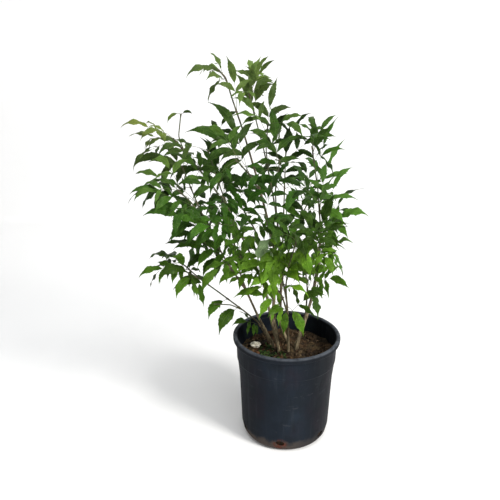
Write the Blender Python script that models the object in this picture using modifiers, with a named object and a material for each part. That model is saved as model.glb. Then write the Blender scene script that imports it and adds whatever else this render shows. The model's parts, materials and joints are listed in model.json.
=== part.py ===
"""Potted yellow bells: a bushy shrub with many stems and feather-like leaves, in a plastic nursery pot.

Metres, +Z up. The origin is the middle of the pot's flat underside. The plant is seen from -Y.
The pot, the soil, a pale stone and each leafy stem are solids of their own.
"""

import math
import random

import bmesh
import bpy
from mathutils import Matrix, Vector
from mathutils.bvhtree import BVHTree

# Pot: a ten inch grow pot. Its outer side runs from the edge of the flat underside up to the lip.
POT_HEIGHT = 0.260
POT_SIDE = [(0.0880, 0.0), (0.0965, 0.0035), (0.1022, 0.0120), (0.1062, 0.0300), (0.1093, 0.1080),
            (0.1116, 0.1580), (0.1160, 0.1985), (0.1176, 0.2005), (0.1190, 0.2465)]
LIP_RADIUS = 0.127
LIP_DEPTH = 0.0135
LIP_ROUND = 0.0028
LIP_LEAN = 0.0004
LIP_EASE = 0.0024
LIP_DRAFT = 0.0006
LIP_HEM = 0.0020
LIP_TUCK = 0.0030
WALL = 0.0022
FLOOR = 0.0030
FLOOR_EDGE = 0.0935
INNER_SIDE_HEIGHTS = [0.0120, 0.1580, 0.1985]
POT_STEPS = 32
SHARP_FROM = math.radians(40)
DRAIN_HOLES = 6
DRAIN_TURN = math.radians(-99.5)
DRAIN_HEIGHT = 0.0250
DRAIN_SIZE = (0.0105, 0.0075)
DRAIN_SIDES = 8
DRAIN_CUT = 0.030

# Soil: fills the pot to about 47 mm below its lip.
SOIL_LEVEL = 0.2125
SOIL_WAVES = 0.0022
SOIL_RIPPLES = 0.0012
SOIL_MOUND = 0.0050
MOUND_SPREAD = 0.0016
SOIL_SLOPE = 0.030
SOIL_FLARE = 0.0006
SOIL_FOOT_ROUND = 0.0070
FIT_GAP = 0.0004
SOIL_RINGS = 4
ROOT_DEPTH = 0.030
HOLE_SIDES = 7
HOLE_CLEARANCE = 0.0006
STEM_COLLAR = 0.007

# Stone: one pale chip that lies on the soil.
STONE_PLACE = (-0.074, 0.026)
STONE_SIZE = (0.012, 0.010, 0.008)
STONE_FLAT = 0.45
FEELERS = 25

# Shoots: round, each a little thinner at every step towards its tip.
SHOOT_STEP = 0.075
SHOOT_TIP = 0.0013
SHOOT_TAPER = 1.5
SIDE_SHOOT = 0.0028
SIDE_SHARE = 0.8
SIDE_BEND = 0.38

# Leaves: pinnate, in opposite pairs, each pair turned a quarter turn from the last. A blade's cross lines
# are (share of its length, its left side's width, its right side's width). Spreads are in degrees.
LEAF_STALK = 0.092
TERMINAL_LEAFLET = 0.086
SIDE_LEAFLET = 0.069
LEAFLET_SLENDERNESS = 0.172
LONG_LEAFLET = 0.080
RIB_WIDTH = 0.0022
RIB_DEPTH = 0.0016
RIDGE = 0.0010
EDGE_FALL = 0.16
LEAFLET_SEAT = 0.0032
LEAFLET_SPREAD = 50
WIDER_EACH_PAIR = 14
SHORTER_EACH_PAIR = 0.14
PAIR_STEP = 0.29
STALK_TAPER = 0.35
LONG_BLADE = [(0.20, 0.78, 0.90), (0.46, 1.00, 0.86), (0.74, 0.56, 0.66)]
SHORT_BLADE = [(0.26, 0.92, 1.00), (0.60, 0.86, 0.76)]
LIGHT = Vector((0.05, -0.65, 1.0)).normalized()
LEAFLET_DROOP = math.radians(26)
LEAST_DROOP = 0.02
STEEPEST = math.radians(84)
SMALLEST_LEAF = 0.36
LARGEST_LEAF = 1.04
BEST_LEAF = 0.92
TWO_PAIRS_FROM = 0.88
CLEARANCE = 0.0012
OWN_STALK = 0.013

# Growth at the crown's edge: a leaf's arc is longer than the way to its tip, and each try is looser.
ARC_OVER_CHORD = 1.06
EDGE_TRIES = 90
EDGE_LOOSENING = 0.0003
EDGE_DROOP = (18, 56)
EDGE_ROLL = 0.5
UPRIGHT_STIFFNESS = 0.7
TIP_ROUNDS = 8
TIP_MISS = 0.004
FEET_A_STEP = 6

# Growth down a shoot: angles in degrees at the tip, and how much they gain on the way to old leaves.
PAIR_SPACING = 0.044
OLD_AFTER = 2.2
LEAF_TRIES = 36
LOOSENESS = (8, 2.0)
OPENING = (38, 26)
DROOPING = (20, 36)
SIZING = (0.60, 0.40)
SHRINKING = 0.985
LEAF_ROLL = 0.4
FOOT_STAGGER = 0.0012
LEAN_FROM = (-0.06, 0.01)
LEAN_UP = 0.08
LEAN_SHARE = 1.2

# The picture the plant is read from: 500 by 500, from an eye that looks along +Y and down.
EYE = Vector((-0.087, -1.274, 0.924))
EYE_PITCH = math.radians(19.643)
EYE_FOCUS = 600.0
PICTURE_MIDDLE = 250.0
OUTLINE_SLACK = 4.0

# The crown's outline in that picture: row, leftmost column, rightmost column. The gaps in it, through
# which light shows: column, row, half width, half height.
CROWN = [
    (51, 205, 262), (60, 188, 270), (70, 190, 270), (80, 204, 273), (90, 224, 273), (100, 228, 282),
    (110, 234, 312), (117, 192, 324), (124, 132, 336), (135, 130, 336), (145, 140, 327), (158, 146, 321),
    (168, 158, 321), (176, 166, 328), (184, 140, 336), (200, 132, 336), (210, 138, 343), (218, 168, 343),
    (230, 176, 346), (240, 170, 346), (252, 160, 340), (268, 144, 340), (282, 152, 342), (292, 178, 330),
    (304, 200, 324), (322, 208, 321), (338, 214, 310),
]
GAPS = [
    (214, 110, 15, 7), (172, 121, 11, 7), (194, 131, 9, 7), (216, 138, 9, 6), (211, 190, 8, 6),
    (187, 196, 6, 5), (268, 207, 7, 5), (167, 249, 8, 5), (250, 304, 10, 8), (283, 304, 8, 9),
    (301, 301, 7, 9), (331, 172, 8, 6), (291, 310, 9, 9), (256, 313, 8, 7),
]

# Leaf, plastic, soil and stone colours, with their roughness.
COLOURS = {
    "leaf": ((0.052, 0.130, 0.028), 0.45),
    "pot_plastic": ((0.020, 0.026, 0.036), 0.45),
    "soil": ((0.075, 0.040, 0.022), 0.95),
    "stone": ((0.640, 0.560, 0.430), 0.80),
}

# Each leafy stem: its seed for the leaves' poses, where it stands, its radius there, the points its
# main shoot passes through and how many leaf pairs that shoot carries; its side shoots, as (share of
# the way up, tip, leaf pairs); and the tips of the leaves that make the crown's edge. Points are
# (picture column, picture row, y).
STEMS = {
    "low_left": {
        "seed": 19463,
        "root": (-0.038, 0.030),
        "radius": 0.0026,
        "route": [(258, 322, 0.015), (243, 310, -0.015), (220, 293, -0.045), (202, 280, -0.060),
                  (183, 270, -0.068)],
        "pairs": 1,
        "sides": [(0.80, (176, 258, -0.040), 1), (0.50, (214, 304, -0.075), 0)],
        "edge": [(137, 279, -0.070), (149, 289, -0.045), (161, 281, -0.100), (174, 289, -0.090),
                 (178, 298, -0.100), (198, 301, -0.090), (206, 305, -0.045), (209, 321, -0.075),
                 (219, 335, -0.090), (232, 326, -0.050)],
    },
    "left": {
        "seed": 50271,
        "root": (-0.030, 0.010),
        "radius": 0.0038,
        "route": [(258, 316, 0.000), (246, 290, -0.020), (227, 262, -0.040), (209, 230, -0.060),
                  (192, 203, -0.072), (178, 190, -0.080)],
        "pairs": 2,
        "sides": [(0.50, (198, 236, -0.025), 1), (0.66, (182, 166, -0.020), 2),
                  (0.40, (232, 225, -0.110), 1)],
        "edge": [(127, 194, -0.090), (127, 206, -0.060), (142, 216, -0.110), (171, 221, -0.120),
                 (162, 245, -0.030), (172, 250, -0.070), (133, 175, -0.020), (157, 180, -0.050),
                 (150, 183, -0.070)],
    },
    "upper_left": {
        "seed": 49756,
        "root": (-0.018, -0.006),
        "radius": 0.0043,
        "route": [(271, 319, 0.002), (266, 291, 0.010), (254, 261, 0.020), (236, 225, 0.028),
                  (213, 186, 0.032), (190, 158, 0.030), (173, 138, 0.030)],
        "pairs": 1,
        "sides": [(0.92, (181, 114, 0.040), 0), (0.50, (222, 196, -0.065), 2),
                  (0.62, (208, 150, 0.000), 1)],
        "edge": [(128, 128, 0.020), (127, 137, 0.040), (133, 168, 0.030), (165, 154, -0.010),
                 (200, 148, 0.050), (200, 138, 0.000), (152, 142, 0.090)],
    },
    "top_left": {
        "seed": 74686,
        "root": (-0.018, 0.036),
        "radius": 0.0048,
        "route": [(273, 315, 0.026), (275, 286, 0.028), (276, 257, 0.026), (268, 220, 0.012),
                  (257, 178, 0.000), (242, 127, -0.010), (232, 98, -0.010), (226, 78, -0.012),
                  (218, 69, -0.015)],
        "pairs": 0,
        "sides": [(0.22, (214, 166, 0.145), 3), (0.28, (198, 212, 0.115), 2),
                  (0.50, (236, 160, -0.080), 1), (0.16, (284, 297, -0.008), 0)],
        "edge": [(184, 76, -0.030), (205, 51, 0.010), (227, 56, -0.030), (196, 81, 0.030),
                 (206, 82, -0.060), (207, 103, -0.030), (184, 130, -0.050), (208, 128, -0.090)],
    },
    "top": {
        "seed": 87358,
        "root": (0.005, 0.022),
        "radius": 0.0040,
        "route": [(280, 323, 0.020), (281, 296, 0.018), (281, 254, 0.028), (275, 206, 0.036),
                  (264, 150, 0.038), (254, 112, 0.030), (249, 93, 0.022)],
        "pairs": 1,
        "sides": [(0.22, (286, 145, 0.150), 3), (0.30, (322, 176, 0.150), 2),
                  (0.55, (280, 160, -0.050), 1), (0.72, (268, 124, -0.020), 1)],
        "edge": [(272, 57, 0.010), (261, 54, 0.050), (277, 77, 0.040), (274, 84, -0.030),
                 (234, 72, 0.040), (232, 98, -0.030), (270, 106, -0.040), (288, 113, -0.020),
                 (290, 126, 0.050)],
    },
    "right": {
        "seed": 53296,
        "root": (0.024, 0.004),
        "radius": 0.0054,
        "route": [(305, 321, 0.014), (312, 298, 0.028), (319, 268, 0.040), (321, 234, 0.050),
                  (318, 190, 0.056), (312, 146, 0.046)],
        "pairs": 1,
        "sides": [(0.44, (320, 204, -0.045), 1), (0.32, (318, 248, -0.070), 1),
                  (0.36, (326, 232, 0.140), 2), (0.22, (305, 264, -0.045), 1)],
        "edge": [(319, 320, -0.050), (282, 109, 0.030), (312, 114, 0.070), (340, 115, 0.060),
                 (336, 124, 0.000), (347, 139, 0.070), (328, 143, 0.010), (356, 168, 0.080),
                 (328, 165, 0.020), (337, 176, -0.040), (368, 190, -0.050), (335, 194, -0.090),
                 (370, 218, -0.060), (348, 224, -0.090), (354, 241, -0.060), (325, 268, -0.110),
                 (336, 268, -0.080), (350, 290, -0.060), (325, 298, -0.060)],
    },
    "front": {
        "seed": 16433,
        "root": (0.004, -0.014),
        "radius": 0.0036,
        "route": [(288, 325, -0.025), (287, 302, -0.048), (282, 276, -0.080), (273, 246, -0.105),
                  (265, 214, -0.120)],
        "pairs": 1,
        "sides": [(0.42, (240, 256, -0.125), 1), (0.50, (297, 240, -0.140), 1)],
        "edge": [(275, 296, -0.120), (292, 283, -0.090), (240, 300, -0.110), (233, 298, -0.100),
                 (222, 287, -0.120), (305, 335, -0.055), (281, 334, -0.065), (258, 263, -0.170),
                 (250, 289, -0.140), (305, 262, -0.160), (262, 232, -0.160), (290, 226, -0.160),
                 (240, 238, -0.160), (225, 258, -0.150), (267, 317, -0.090), (234, 276, -0.140),
                 (262, 289, -0.120), (268, 284, -0.150), (302, 286, -0.140), (316, 292, -0.110),
                 (326, 296, -0.100), (296, 268, -0.170), (276, 252, -0.180), (318, 248, -0.130),
                 (244, 262, -0.170)],
    },
}


# Helpers

def clear_scene():
    for old in list(bpy.data.objects):
        bpy.data.objects.remove(old)


def new_collection(name):
    made = bpy.data.collections.new(name)
    bpy.context.scene.collection.children.link(made)
    return made


def material(name):
    if name in bpy.data.materials:
        return bpy.data.materials[name]
    colour, roughness = COLOURS[name]
    made = bpy.data.materials.new(name)
    made.use_nodes = True
    shader = made.node_tree.nodes["Principled BSDF"]
    shader.inputs["Base Color"].default_value = (*colour, 1.0)
    shader.inputs["Roughness"].default_value = roughness
    shader.inputs["Metallic"].default_value = 0.0
    return made


def new_object(name, data, collection):
    made = bpy.data.objects.new(name, data)
    collection.objects.link(made)
    return made


def evaluated_mesh(obj):
    """The object's mesh with its modifiers applied."""
    bpy.context.view_layer.update()
    graph = bpy.context.evaluated_depsgraph_get()
    return bpy.data.meshes.new_from_object(obj.evaluated_get(graph))


def turned(name, profile, steps, collection):
    """A solid turned about Z from a profile that starts and ends on the axis."""
    mesh = bpy.data.meshes.new(name)
    mesh.from_pydata([(r, 0.0, z) for r, z in profile], [(i, i + 1) for i in range(len(profile) - 1)], [])
    obj = new_object(name, mesh, collection)
    screw = obj.modifiers.new("turn", "SCREW")
    screw.axis = "Z"
    screw.steps = steps
    screw.render_steps = steps
    screw.use_merge_vertices = True
    screw.merge_threshold = 0.00005
    return obj


def triangulate(mesh):
    work = bmesh.new()
    work.from_mesh(mesh)
    bmesh.ops.triangulate(work, faces=work.faces)
    work.to_mesh(mesh)
    work.free()


def subtract(obj, cutter_collection):
    cut = obj.modifiers.new("cut", "BOOLEAN")
    cut.operation = "DIFFERENCE"
    cut.operand_type = "COLLECTION"
    cut.collection = cutter_collection
    cut.solver = "EXACT"


def make_cutter(obj):
    obj.hide_render = True
    obj.display_type = "WIRE"


def shade(obj, name):
    obj.data.materials.clear()
    obj.data.materials.append(material(name))


# Picture

def seen_at(column, row, y):
    """The point with this y that the picture shows at this column and row."""
    ahead = y - EYE.y
    below = row - PICTURE_MIDDLE
    c, n = math.cos(EYE_PITCH), math.sin(EYE_PITCH)
    drop = ahead * (below * c + EYE_FOCUS * n) / (EYE_FOCUS * c - below * n)
    depth = ahead * c + drop * n
    return Vector((EYE.x + (column - PICTURE_MIDDLE) * depth / EYE_FOCUS, y, EYE.z - drop))


def in_picture(point):
    """The column and row at which the picture shows a point."""
    way = point - EYE
    c, n = math.cos(EYE_PITCH), math.sin(EYE_PITCH)
    depth = way.y * c - way.z * n
    return (PICTURE_MIDDLE + EYE_FOCUS * way.x / depth,
            PICTURE_MIDDLE - EYE_FOCUS * (way.y * n + way.z * c) / depth)


def in_crown(leaflets):
    """Whether the picture shows all the leaflets inside the crown's outline and clear of its gaps."""
    return all(is_inside(*in_picture(arc.point(1.0))) and not in_gap(arc) for arc, _, _, _ in leaflets)


def in_gap(arc):
    """Whether the picture shows the leaflet's middle or tip in one of the crown's gaps."""
    seen = [in_picture(arc.point(share)) for share in (0.5, 1.0)]
    return any(
        ((column - x) / wide) ** 2 + ((row - y) / high) ** 2 < 1.0
        for column, row in seen for x, y, wide, high in GAPS
    )


def is_inside(column, row):
    for (top, left, right), (low, low_left, low_right) in zip(CROWN, CROWN[1:]):
        if top - OUTLINE_SLACK <= row <= low:
            t = max(0.0, (row - top) / (low - top))
            reach_left = left + (low_left - left) * t - OUTLINE_SLACK
            reach_right = right + (low_right - right) * t + OUTLINE_SLACK
            return reach_left <= column <= reach_right
    return False


# Pot

def side_radius(z):
    """The pot's outer side at a height."""
    for (low_radius, low), (high_radius, high) in zip(POT_SIDE, POT_SIDE[1:]):
        if z <= high:
            return low_radius + (high_radius - low_radius) * (z - low) / (high - low)
    return POT_SIDE[-1][0]


def inner_side(gap=0.0):
    """The inner side from the floor's edge up, a gap further in."""
    return [(side_radius(z) - WALL - gap, z) for z in INNER_SIDE_HEIGHTS]


def pot_profile():
    """From the middle of the floor up the inner wall, over the lip, and down the outside."""
    top = POT_HEIGHT
    under_lip = top - LIP_DEPTH
    inside = side_radius(under_lip) - WALL
    return [
        (0.0, FLOOR),
        (FLOOR_EDGE, FLOOR),
        *inner_side(),
        (inside + LIP_LEAN, top - LIP_ROUND),
        (inside + LIP_EASE, top),
        (LIP_RADIUS - LIP_ROUND, top),
        (LIP_RADIUS, top - LIP_ROUND),
        (LIP_RADIUS - LIP_DRAFT, under_lip + LIP_HEM),
        (LIP_RADIUS - LIP_TUCK, under_lip),
        *reversed(POT_SIDE),
        (0.0, 0.0),
    ]


def build_pot(parts, cutters):
    pot = turned("pot", pot_profile(), POT_STEPS, parts)
    drains = bpy.data.collections.new("drain_cutters")
    cutters.children.link(drains)
    half_wide, half_high = DRAIN_SIZE
    for i in range(DRAIN_HOLES):
        turn = DRAIN_TURN + math.tau * i / DRAIN_HOLES
        bpy.ops.mesh.primitive_cylinder_add(vertices=DRAIN_SIDES, radius=1.0, depth=DRAIN_CUT)
        cutter = bpy.context.object
        cutter.name = f"drain_cutter_{i}"
        cutter.data.transform(cutter.matrix_world)
        for v in cutter.data.vertices:
            v.co = (v.co.z, v.co.x * half_wide, v.co.y * half_high)
        reach = side_radius(DRAIN_HEIGHT)
        cutter.location = (reach * math.cos(turn), reach * math.sin(turn), DRAIN_HEIGHT)
        cutter.rotation_euler = (0.0, 0.0, turn)
        for owner in cutter.users_collection:
            owner.objects.unlink(cutter)
        drains.objects.link(cutter)
        make_cutter(cutter)
    subtract(pot, drains)
    pot.data = evaluated_mesh(pot)
    pot.modifiers.clear()
    shade(pot, "pot_plastic")
    pot.data.shade_smooth()
    pot.data.set_sharp_from_angle(angle=SHARP_FROM)
    return pot


# Soil

def soil_height(x, y):
    """The soil's surface: low waves, a little higher on the right and round the stems."""
    waves = SOIL_WAVES * math.sin(61 * x + 1.3) * math.cos(53 * y + 0.4)
    waves += SOIL_RIPPLES * math.sin(131 * x - 97 * y)
    mound = SOIL_MOUND * math.exp(-(x * x + (y - 0.02) ** 2) / MOUND_SPREAD)
    return SOIL_LEVEL + waves + mound + SOIL_SLOPE * x


def soil_profile():
    """From the surface's middle out to the wall, down beside it, and back along the floor."""
    low = FLOOR + FIT_GAP
    side = inner_side(FIT_GAP)
    edge = side[2][0] + SOIL_FLARE
    rings = [(edge * i / SOIL_RINGS, SOIL_LEVEL) for i in range(SOIL_RINGS + 1)]
    return [*rings, side[2], side[1], side[0], (side[0][0] - SOIL_FOOT_ROUND, low), (0.0, low)]


def build_soil(parts, cutters):
    soil = turned("soil", soil_profile(), POT_STEPS, parts)
    soil.data = evaluated_mesh(soil)
    soil.modifiers.clear()
    for v in soil.data.vertices:
        if v.co.z > SOIL_LEVEL - 0.001:
            v.co.z = soil_height(v.co.x, v.co.y)
    triangulate(soil.data)
    holes = bpy.data.collections.new("stem_hole_cutters")
    cutters.children.link(holes)
    for name, stem in STEMS.items():
        x, y = stem["root"]
        bottom = root_bottom(stem).z - HOLE_CLEARANCE
        height = SOIL_LEVEL + ROOT_DEPTH - bottom
        radius = (stem["radius"] + HOLE_CLEARANCE) / math.cos(math.pi / HOLE_SIDES)
        bpy.ops.mesh.primitive_cylinder_add(
            vertices=HOLE_SIDES, radius=radius, depth=height, location=(x, y, bottom + height / 2)
        )
        cutter = bpy.context.object
        cutter.name = f"stem_hole_cutter_{name}"
        for owner in cutter.users_collection:
            owner.objects.unlink(cutter)
        holes.objects.link(cutter)
        make_cutter(cutter)
    subtract(soil, holes)
    soil.data = evaluated_mesh(soil)
    soil.modifiers.clear()
    triangulate(soil.data)
    shade(soil, "soil")
    return soil


# Stone

def height_to_clear(upper, lower):
    """How far the upper mesh has to rise to lie on the lower one, felt at a grid of places."""
    top, ground = (
        BVHTree.FromPolygons([v.co for v in obj.data.vertices], [f.vertices for f in obj.data.polygons])
        for obj in (upper, lower)
    )
    low, high = reach_of([v.co for v in upper.data.vertices])
    needed = -POT_HEIGHT
    for i in range(FEELERS):
        for j in range(FEELERS):
            x = low.x + (high.x - low.x) * i / (FEELERS - 1)
            y = low.y + (high.y - low.y) * j / (FEELERS - 1)
            underside = top.ray_cast(Vector((x, y, -1.0)), Vector((0.0, 0.0, 1.0)))[0]
            surface = ground.ray_cast(Vector((x, y, 1.0)), Vector((0.0, 0.0, -1.0)))[0]
            if underside and surface:
                needed = max(needed, surface.z - underside.z)
    return needed


def build_stone(parts, soil):
    """A chip with a flat bottom, lying on the soil."""
    bpy.ops.mesh.primitive_ico_sphere_add(subdivisions=2, radius=1.0)
    stone = bpy.context.object
    stone.name = "stone"
    for owner in stone.users_collection:
        owner.objects.unlink(stone)
    parts.objects.link(stone)
    x, y = STONE_PLACE
    reach_x, reach_y, reach_z = STONE_SIZE
    for v in stone.data.vertices:
        lumps = 1.0 + 0.16 * math.sin(5 * v.co.x + 2) * math.cos(4 * v.co.y) + 0.10 * math.sin(7 * v.co.z)
        v.co = (v.co.x * reach_x * lumps, v.co.y * reach_y * lumps, v.co.z * reach_z * lumps)
    lowest = -STONE_FLAT * reach_z
    for v in stone.data.vertices:
        v.co = (x + v.co.x, y + v.co.y, max(v.co.z, lowest) - lowest)
    lift = height_to_clear(stone, soil) + FIT_GAP
    for v in stone.data.vertices:
        v.co.z += lift
    shade(stone, "stone")
    return stone


# Shoots

def root_bottom(stem):
    x, y = stem["root"]
    return Vector((x, y, soil_height(x, y) - ROOT_DEPTH))


def smooth_route(points, spacing):
    """Points on a smooth curve through the given ones, about one spacing apart."""
    ends = [2 * points[0] - points[1], *points, 2 * points[-1] - points[-2]]
    made = []
    for a, b, c, d in zip(ends, ends[1:], ends[2:], ends[3:]):
        steps = max(1, round((c - b).length / spacing))
        for i in range(steps):
            t = i / steps
            made.append(0.5 * (2 * b + (c - a) * t + (2 * a - 5 * b + 4 * c - d) * t**2
                               + (3 * b - a - 3 * c + d) * t**3))
    return [*made, points[-1]]


def main_route(stem):
    """Straight up out of the soil, then through the stem's own points."""
    x, y = stem["root"]
    collar = Vector((x, y, soil_height(x, y) + STEM_COLLAR))
    above = smooth_route([collar, *(seen_at(*point) for point in stem["route"])], SHOOT_STEP)
    return [root_bottom(stem), *above]


def side_route(main, share, tip):
    """A side shoot leaves the main shoot along it, and bends out to its tip."""
    place = share * (len(main) - 1)
    i = min(int(place), len(main) - 2)
    start = main[i].lerp(main[i + 1], place - i)
    tip = seen_at(*tip)
    along = (main[i + 1] - main[i]).normalized()
    bend = start + along * SIDE_BEND * (tip - start).length
    steps = max(2, round((tip - start).length / SHOOT_STEP))
    return [start.lerp(bend, t).lerp(bend.lerp(tip, t), t) for t in (k / steps for k in range(steps + 1))]


def shoots_of(stem):
    """Each shoot as (points, radius at each point, leaf pairs), the main shoot first."""
    main = main_route(stem)
    thick = stem["radius"]
    main_radii = [
        SHOOT_TIP + (thick - SHOOT_TIP) * (1.0 - i / (len(main) - 1)) ** SHOOT_TAPER for i in range(len(main))
    ]
    main_radii[0] = main_radii[1] = thick
    found = [(main, main_radii, stem["pairs"])]
    for share, tip, pairs in stem["sides"]:
        points = side_route(main, share, tip)
        start = min(SIDE_SHOOT, SIDE_SHARE * main_radii[int(share * (len(main) - 1))])
        radii = [start + (SHOOT_TIP - start) * i / (len(points) - 1) for i in range(len(points))]
        found.append((points, radii, pairs))
    return found


def tube(name, points, radii, resolution, collection):
    """A round shoot along its points, as a closed mesh object."""
    curve = bpy.data.curves.new(name, "CURVE")
    curve.dimensions = "3D"
    curve.bevel_depth = 1.0
    curve.bevel_resolution = resolution
    curve.use_fill_caps = True
    spline = curve.splines.new("POLY")
    spline.points.add(len(points) - 1)
    for point, place, radius in zip(spline.points, points, radii):
        point.co = (*place, 1.0)
        point.radius = radius
    guide = new_object(name + "_curve", curve, collection)
    mesh = evaluated_mesh(guide)
    bpy.data.objects.remove(guide)
    work = bmesh.new()
    work.from_mesh(mesh)
    bmesh.ops.remove_doubles(work, verts=work.verts, dist=0.00002)
    work.to_mesh(mesh)
    work.free()
    return new_object(name, mesh, collection)


# Leaves

class Arc:
    """A rib that leaves its start in a direction and droops evenly along its length."""

    def __init__(self, start, direction, length, droop):
        self.start = start
        self.length = length
        self.heading = Vector((direction.x, direction.y, 0.0)).normalized()
        self.pitch = math.asin(max(-1.0, min(1.0, direction.z / direction.length)))
        self.droop = max(LEAST_DROOP, min(droop, self.pitch + STEEPEST))
        self.sideways = self.heading.cross(Vector((0.0, 0.0, 1.0)))

    def point(self, share):
        low = self.pitch - self.droop * share
        out = (math.sin(self.pitch) - math.sin(low)) / self.droop
        up = (math.cos(low) - math.cos(self.pitch)) / self.droop
        return self.start + self.length * (self.heading * out + Vector((0.0, 0.0, up)))

    def direction(self, share):
        low = self.pitch - self.droop * share
        return self.heading * math.cos(low) + Vector((0.0, 0.0, math.sin(low)))

    def carried(self, vector, share):
        """A vector fixed to the rib's start, turned as the rib turns."""
        return Matrix.Rotation(-self.droop * share, 3, self.sideways) @ vector


def across(direction, roll):
    """The unit vector to the right of a direction, for a blade that faces the light, then rolls."""
    right = direction.cross(LIGHT)
    if right.length < 0.2:
        right = direction.cross(Vector((0.0, 0.0, 1.0)))
    right.normalize()
    return right * math.cos(roll) + right.cross(direction) * math.sin(roll)


class Leaf:
    """A stalk, and its leaflets as (arc, seat's share of the stalk, side, the blade's own right)."""

    def __init__(self, foot, direction, size, droop, roll, pairs):
        self.stalk = Arc(foot, direction, LEAF_STALK * size, droop)
        self.right = across(self.stalk.direction(0.0), roll)
        self.seats = [1.0 - PAIR_STEP * (k + 1) for k in reversed(range(pairs))]
        self.leaflets = []
        for order, seat in enumerate(reversed(self.seats)):
            for side in (-1, 1):
                self.add_side_leaflet(order, seat, side, size, droop)
        arc = Arc(self.stalk.point(1.0), self.stalk.direction(1.0), TERMINAL_LEAFLET * size,
                  0.5 * droop + LEAFLET_DROOP)
        self.leaflets.append((arc, 1.0, 0, self.stalk.carried(self.right, 1.0)))

    def add_side_leaflet(self, order, seat, side, size, droop):
        along = self.stalk.direction(seat)
        right = self.stalk.carried(self.right, seat)
        spread = math.radians(LEAFLET_SPREAD + WIDER_EACH_PAIR * order)
        out = along * math.cos(spread) + right * side * math.sin(spread)
        length = SIDE_LEAFLET * size * (1.0 - SHORTER_EACH_PAIR * order)
        start = self.stalk.point(seat) + right * side * 0.5 * RIB_WIDTH
        arc = Arc(start, out, length, 0.6 * droop + LEAFLET_DROOP * (1.0 + 0.5 * order))
        self.leaflets.append((arc, seat, side, -side * (along - out * along.dot(out)).normalized()))

    def tip(self):
        return self.leaflets[-1][0].point(1.0)

    def shape(self, swell=0.0, bare=0.0):
        """The leaf's points and triangles: a three-sided stalk, with a leaflet in each seat.

        A swollen shape, without the bare length at the stalk's foot, tests what the leaf would touch.
        """
        half_seat = 0.5 * LEAFLET_SEAT / self.stalk.length
        shares = [bare / self.stalk.length]
        for seat in self.seats:
            shares += [seat - half_seat, seat + half_seat]
        shares.append(1.0)
        points, faces = [], [(0, 1, 2)]
        for share in shares:
            right = self.stalk.carried(self.right, share)
            up = right.cross(self.stalk.direction(share))
            wide = right * (0.5 * RIB_WIDTH * (1.0 - STALK_TAPER * share) + swell)
            deep = up * (0.5 * RIB_DEPTH * (1.0 - STALK_TAPER * share) + swell)
            middle = self.stalk.point(share)
            points += [middle - wide + deep, middle + wide + deep, middle - deep]
        for i in range(len(shares) - 1):
            a, b = 3 * i, 3 * (i + 1)
            faces += [(a, b, b + 1), (a, b + 1, a + 1)]
            if i % 2 == 0:
                faces += [(a, a + 2, b + 2), (a, b + 2, b), (a + 1, b + 1, b + 2), (a + 1, b + 2, a + 2)]
        for arc, seat, side, right in self.leaflets:
            a = 3 * (1 + 2 * self.seats.index(seat)) if side else 3 * (len(shares) - 1)
            b = a + 3
            rings = {
                -1: (a, b, b + 2, a + 2),
                0: (a, a + 1, a + 2, a + 2),
                1: (b + 1, a + 1, a + 2, b + 2),
            }
            add_blade(points, faces, rings[side], arc, right, swell)
        return points, faces


def blade_sections(length):
    """Where a leaflet's cross lines lie, and how wide it is there on its two sides."""
    return LONG_BLADE if length > LONG_LEAFLET else SHORT_BLADE


def add_blade(points, faces, ring, arc, right, swell):
    """A leaflet with a raised rib, lofted from its seat's corners to its tip."""
    left_top, right_top, right_low, left_low = ring
    last = None
    half = arc.length * LEAFLET_SLENDERNESS + swell
    for share, left_wide, right_wide in blade_sections(arc.length):
        middle = arc.point(share)
        way = arc.carried(right, share)
        up = way.cross(arc.direction(share))
        start = len(points)
        points.append(middle - way * half * left_wide - up * half * EDGE_FALL)
        points.append(middle + up * (RIDGE + swell))
        points.append(middle + way * half * right_wide - up * half * EDGE_FALL)
        left, rib, far = start, start + 1, start + 2
        if last is None:
            faces += [(left_top, left, rib), (left_top, rib, right_top), (right_top, rib, far)]
            faces += [(left_low, far, left), (left_top, left_low, left), (right_top, far, right_low)]
            if left_low != right_low:
                faces.append((left_low, right_low, far))
        else:
            a, b, c = last
            faces += [(a, left, rib), (a, rib, b), (b, rib, far), (b, far, c)]
            faces += [(a, c, far), (a, far, left)]
        last = (left, rib, far)
    tip = len(points)
    points.append(arc.point(1.0 + swell / arc.length))
    a, b, c = last
    faces += [(a, tip, b), (b, tip, c), (a, c, tip)]


def crosses_itself(points, faces):
    tree = BVHTree.FromPolygons(points, faces)
    return any(i < j and not set(faces[i]) & set(faces[j]) for i, j in tree.overlap(tree))


def reach_of(points):
    low = Vector(min(p[i] for p in points) for i in range(3))
    high = Vector(max(p[i] for p in points) for i in range(3))
    return low, high


def apart(a, b):
    return any(a[0][i] > b[1][i] or b[0][i] > a[1][i] for i in range(3))


class Bush:
    """What has grown so far, so that the next leaf can be bent clear of it."""

    def __init__(self):
        self.grown = []

    def add(self, points, faces):
        self.grown.append((reach_of(points), BVHTree.FromPolygons(points, faces)))

    def add_object(self, obj):
        self.add([v.co.copy() for v in obj.data.vertices], [tuple(f.vertices) for f in obj.data.polygons])

    def is_clear(self, points, faces):
        reach = reach_of(points)
        tree = None
        for other_reach, other in self.grown:
            if apart(reach, other_reach):
                continue
            tree = tree or BVHTree.FromPolygons(points, faces)
            if tree.overlap(other):
                return False
        return True

    def takes(self, leaf):
        """Adds the leaf if it is clear of itself and of everything."""
        shape = leaf.shape()
        if crosses_itself(*shape) or not self.is_clear(*leaf.shape(CLEARANCE, OWN_STALK)):
            return False
        self.add(*shape)
        return True


def pairs_for(size):
    return 2 if size > TWO_PAIRS_FROM else 1


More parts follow.
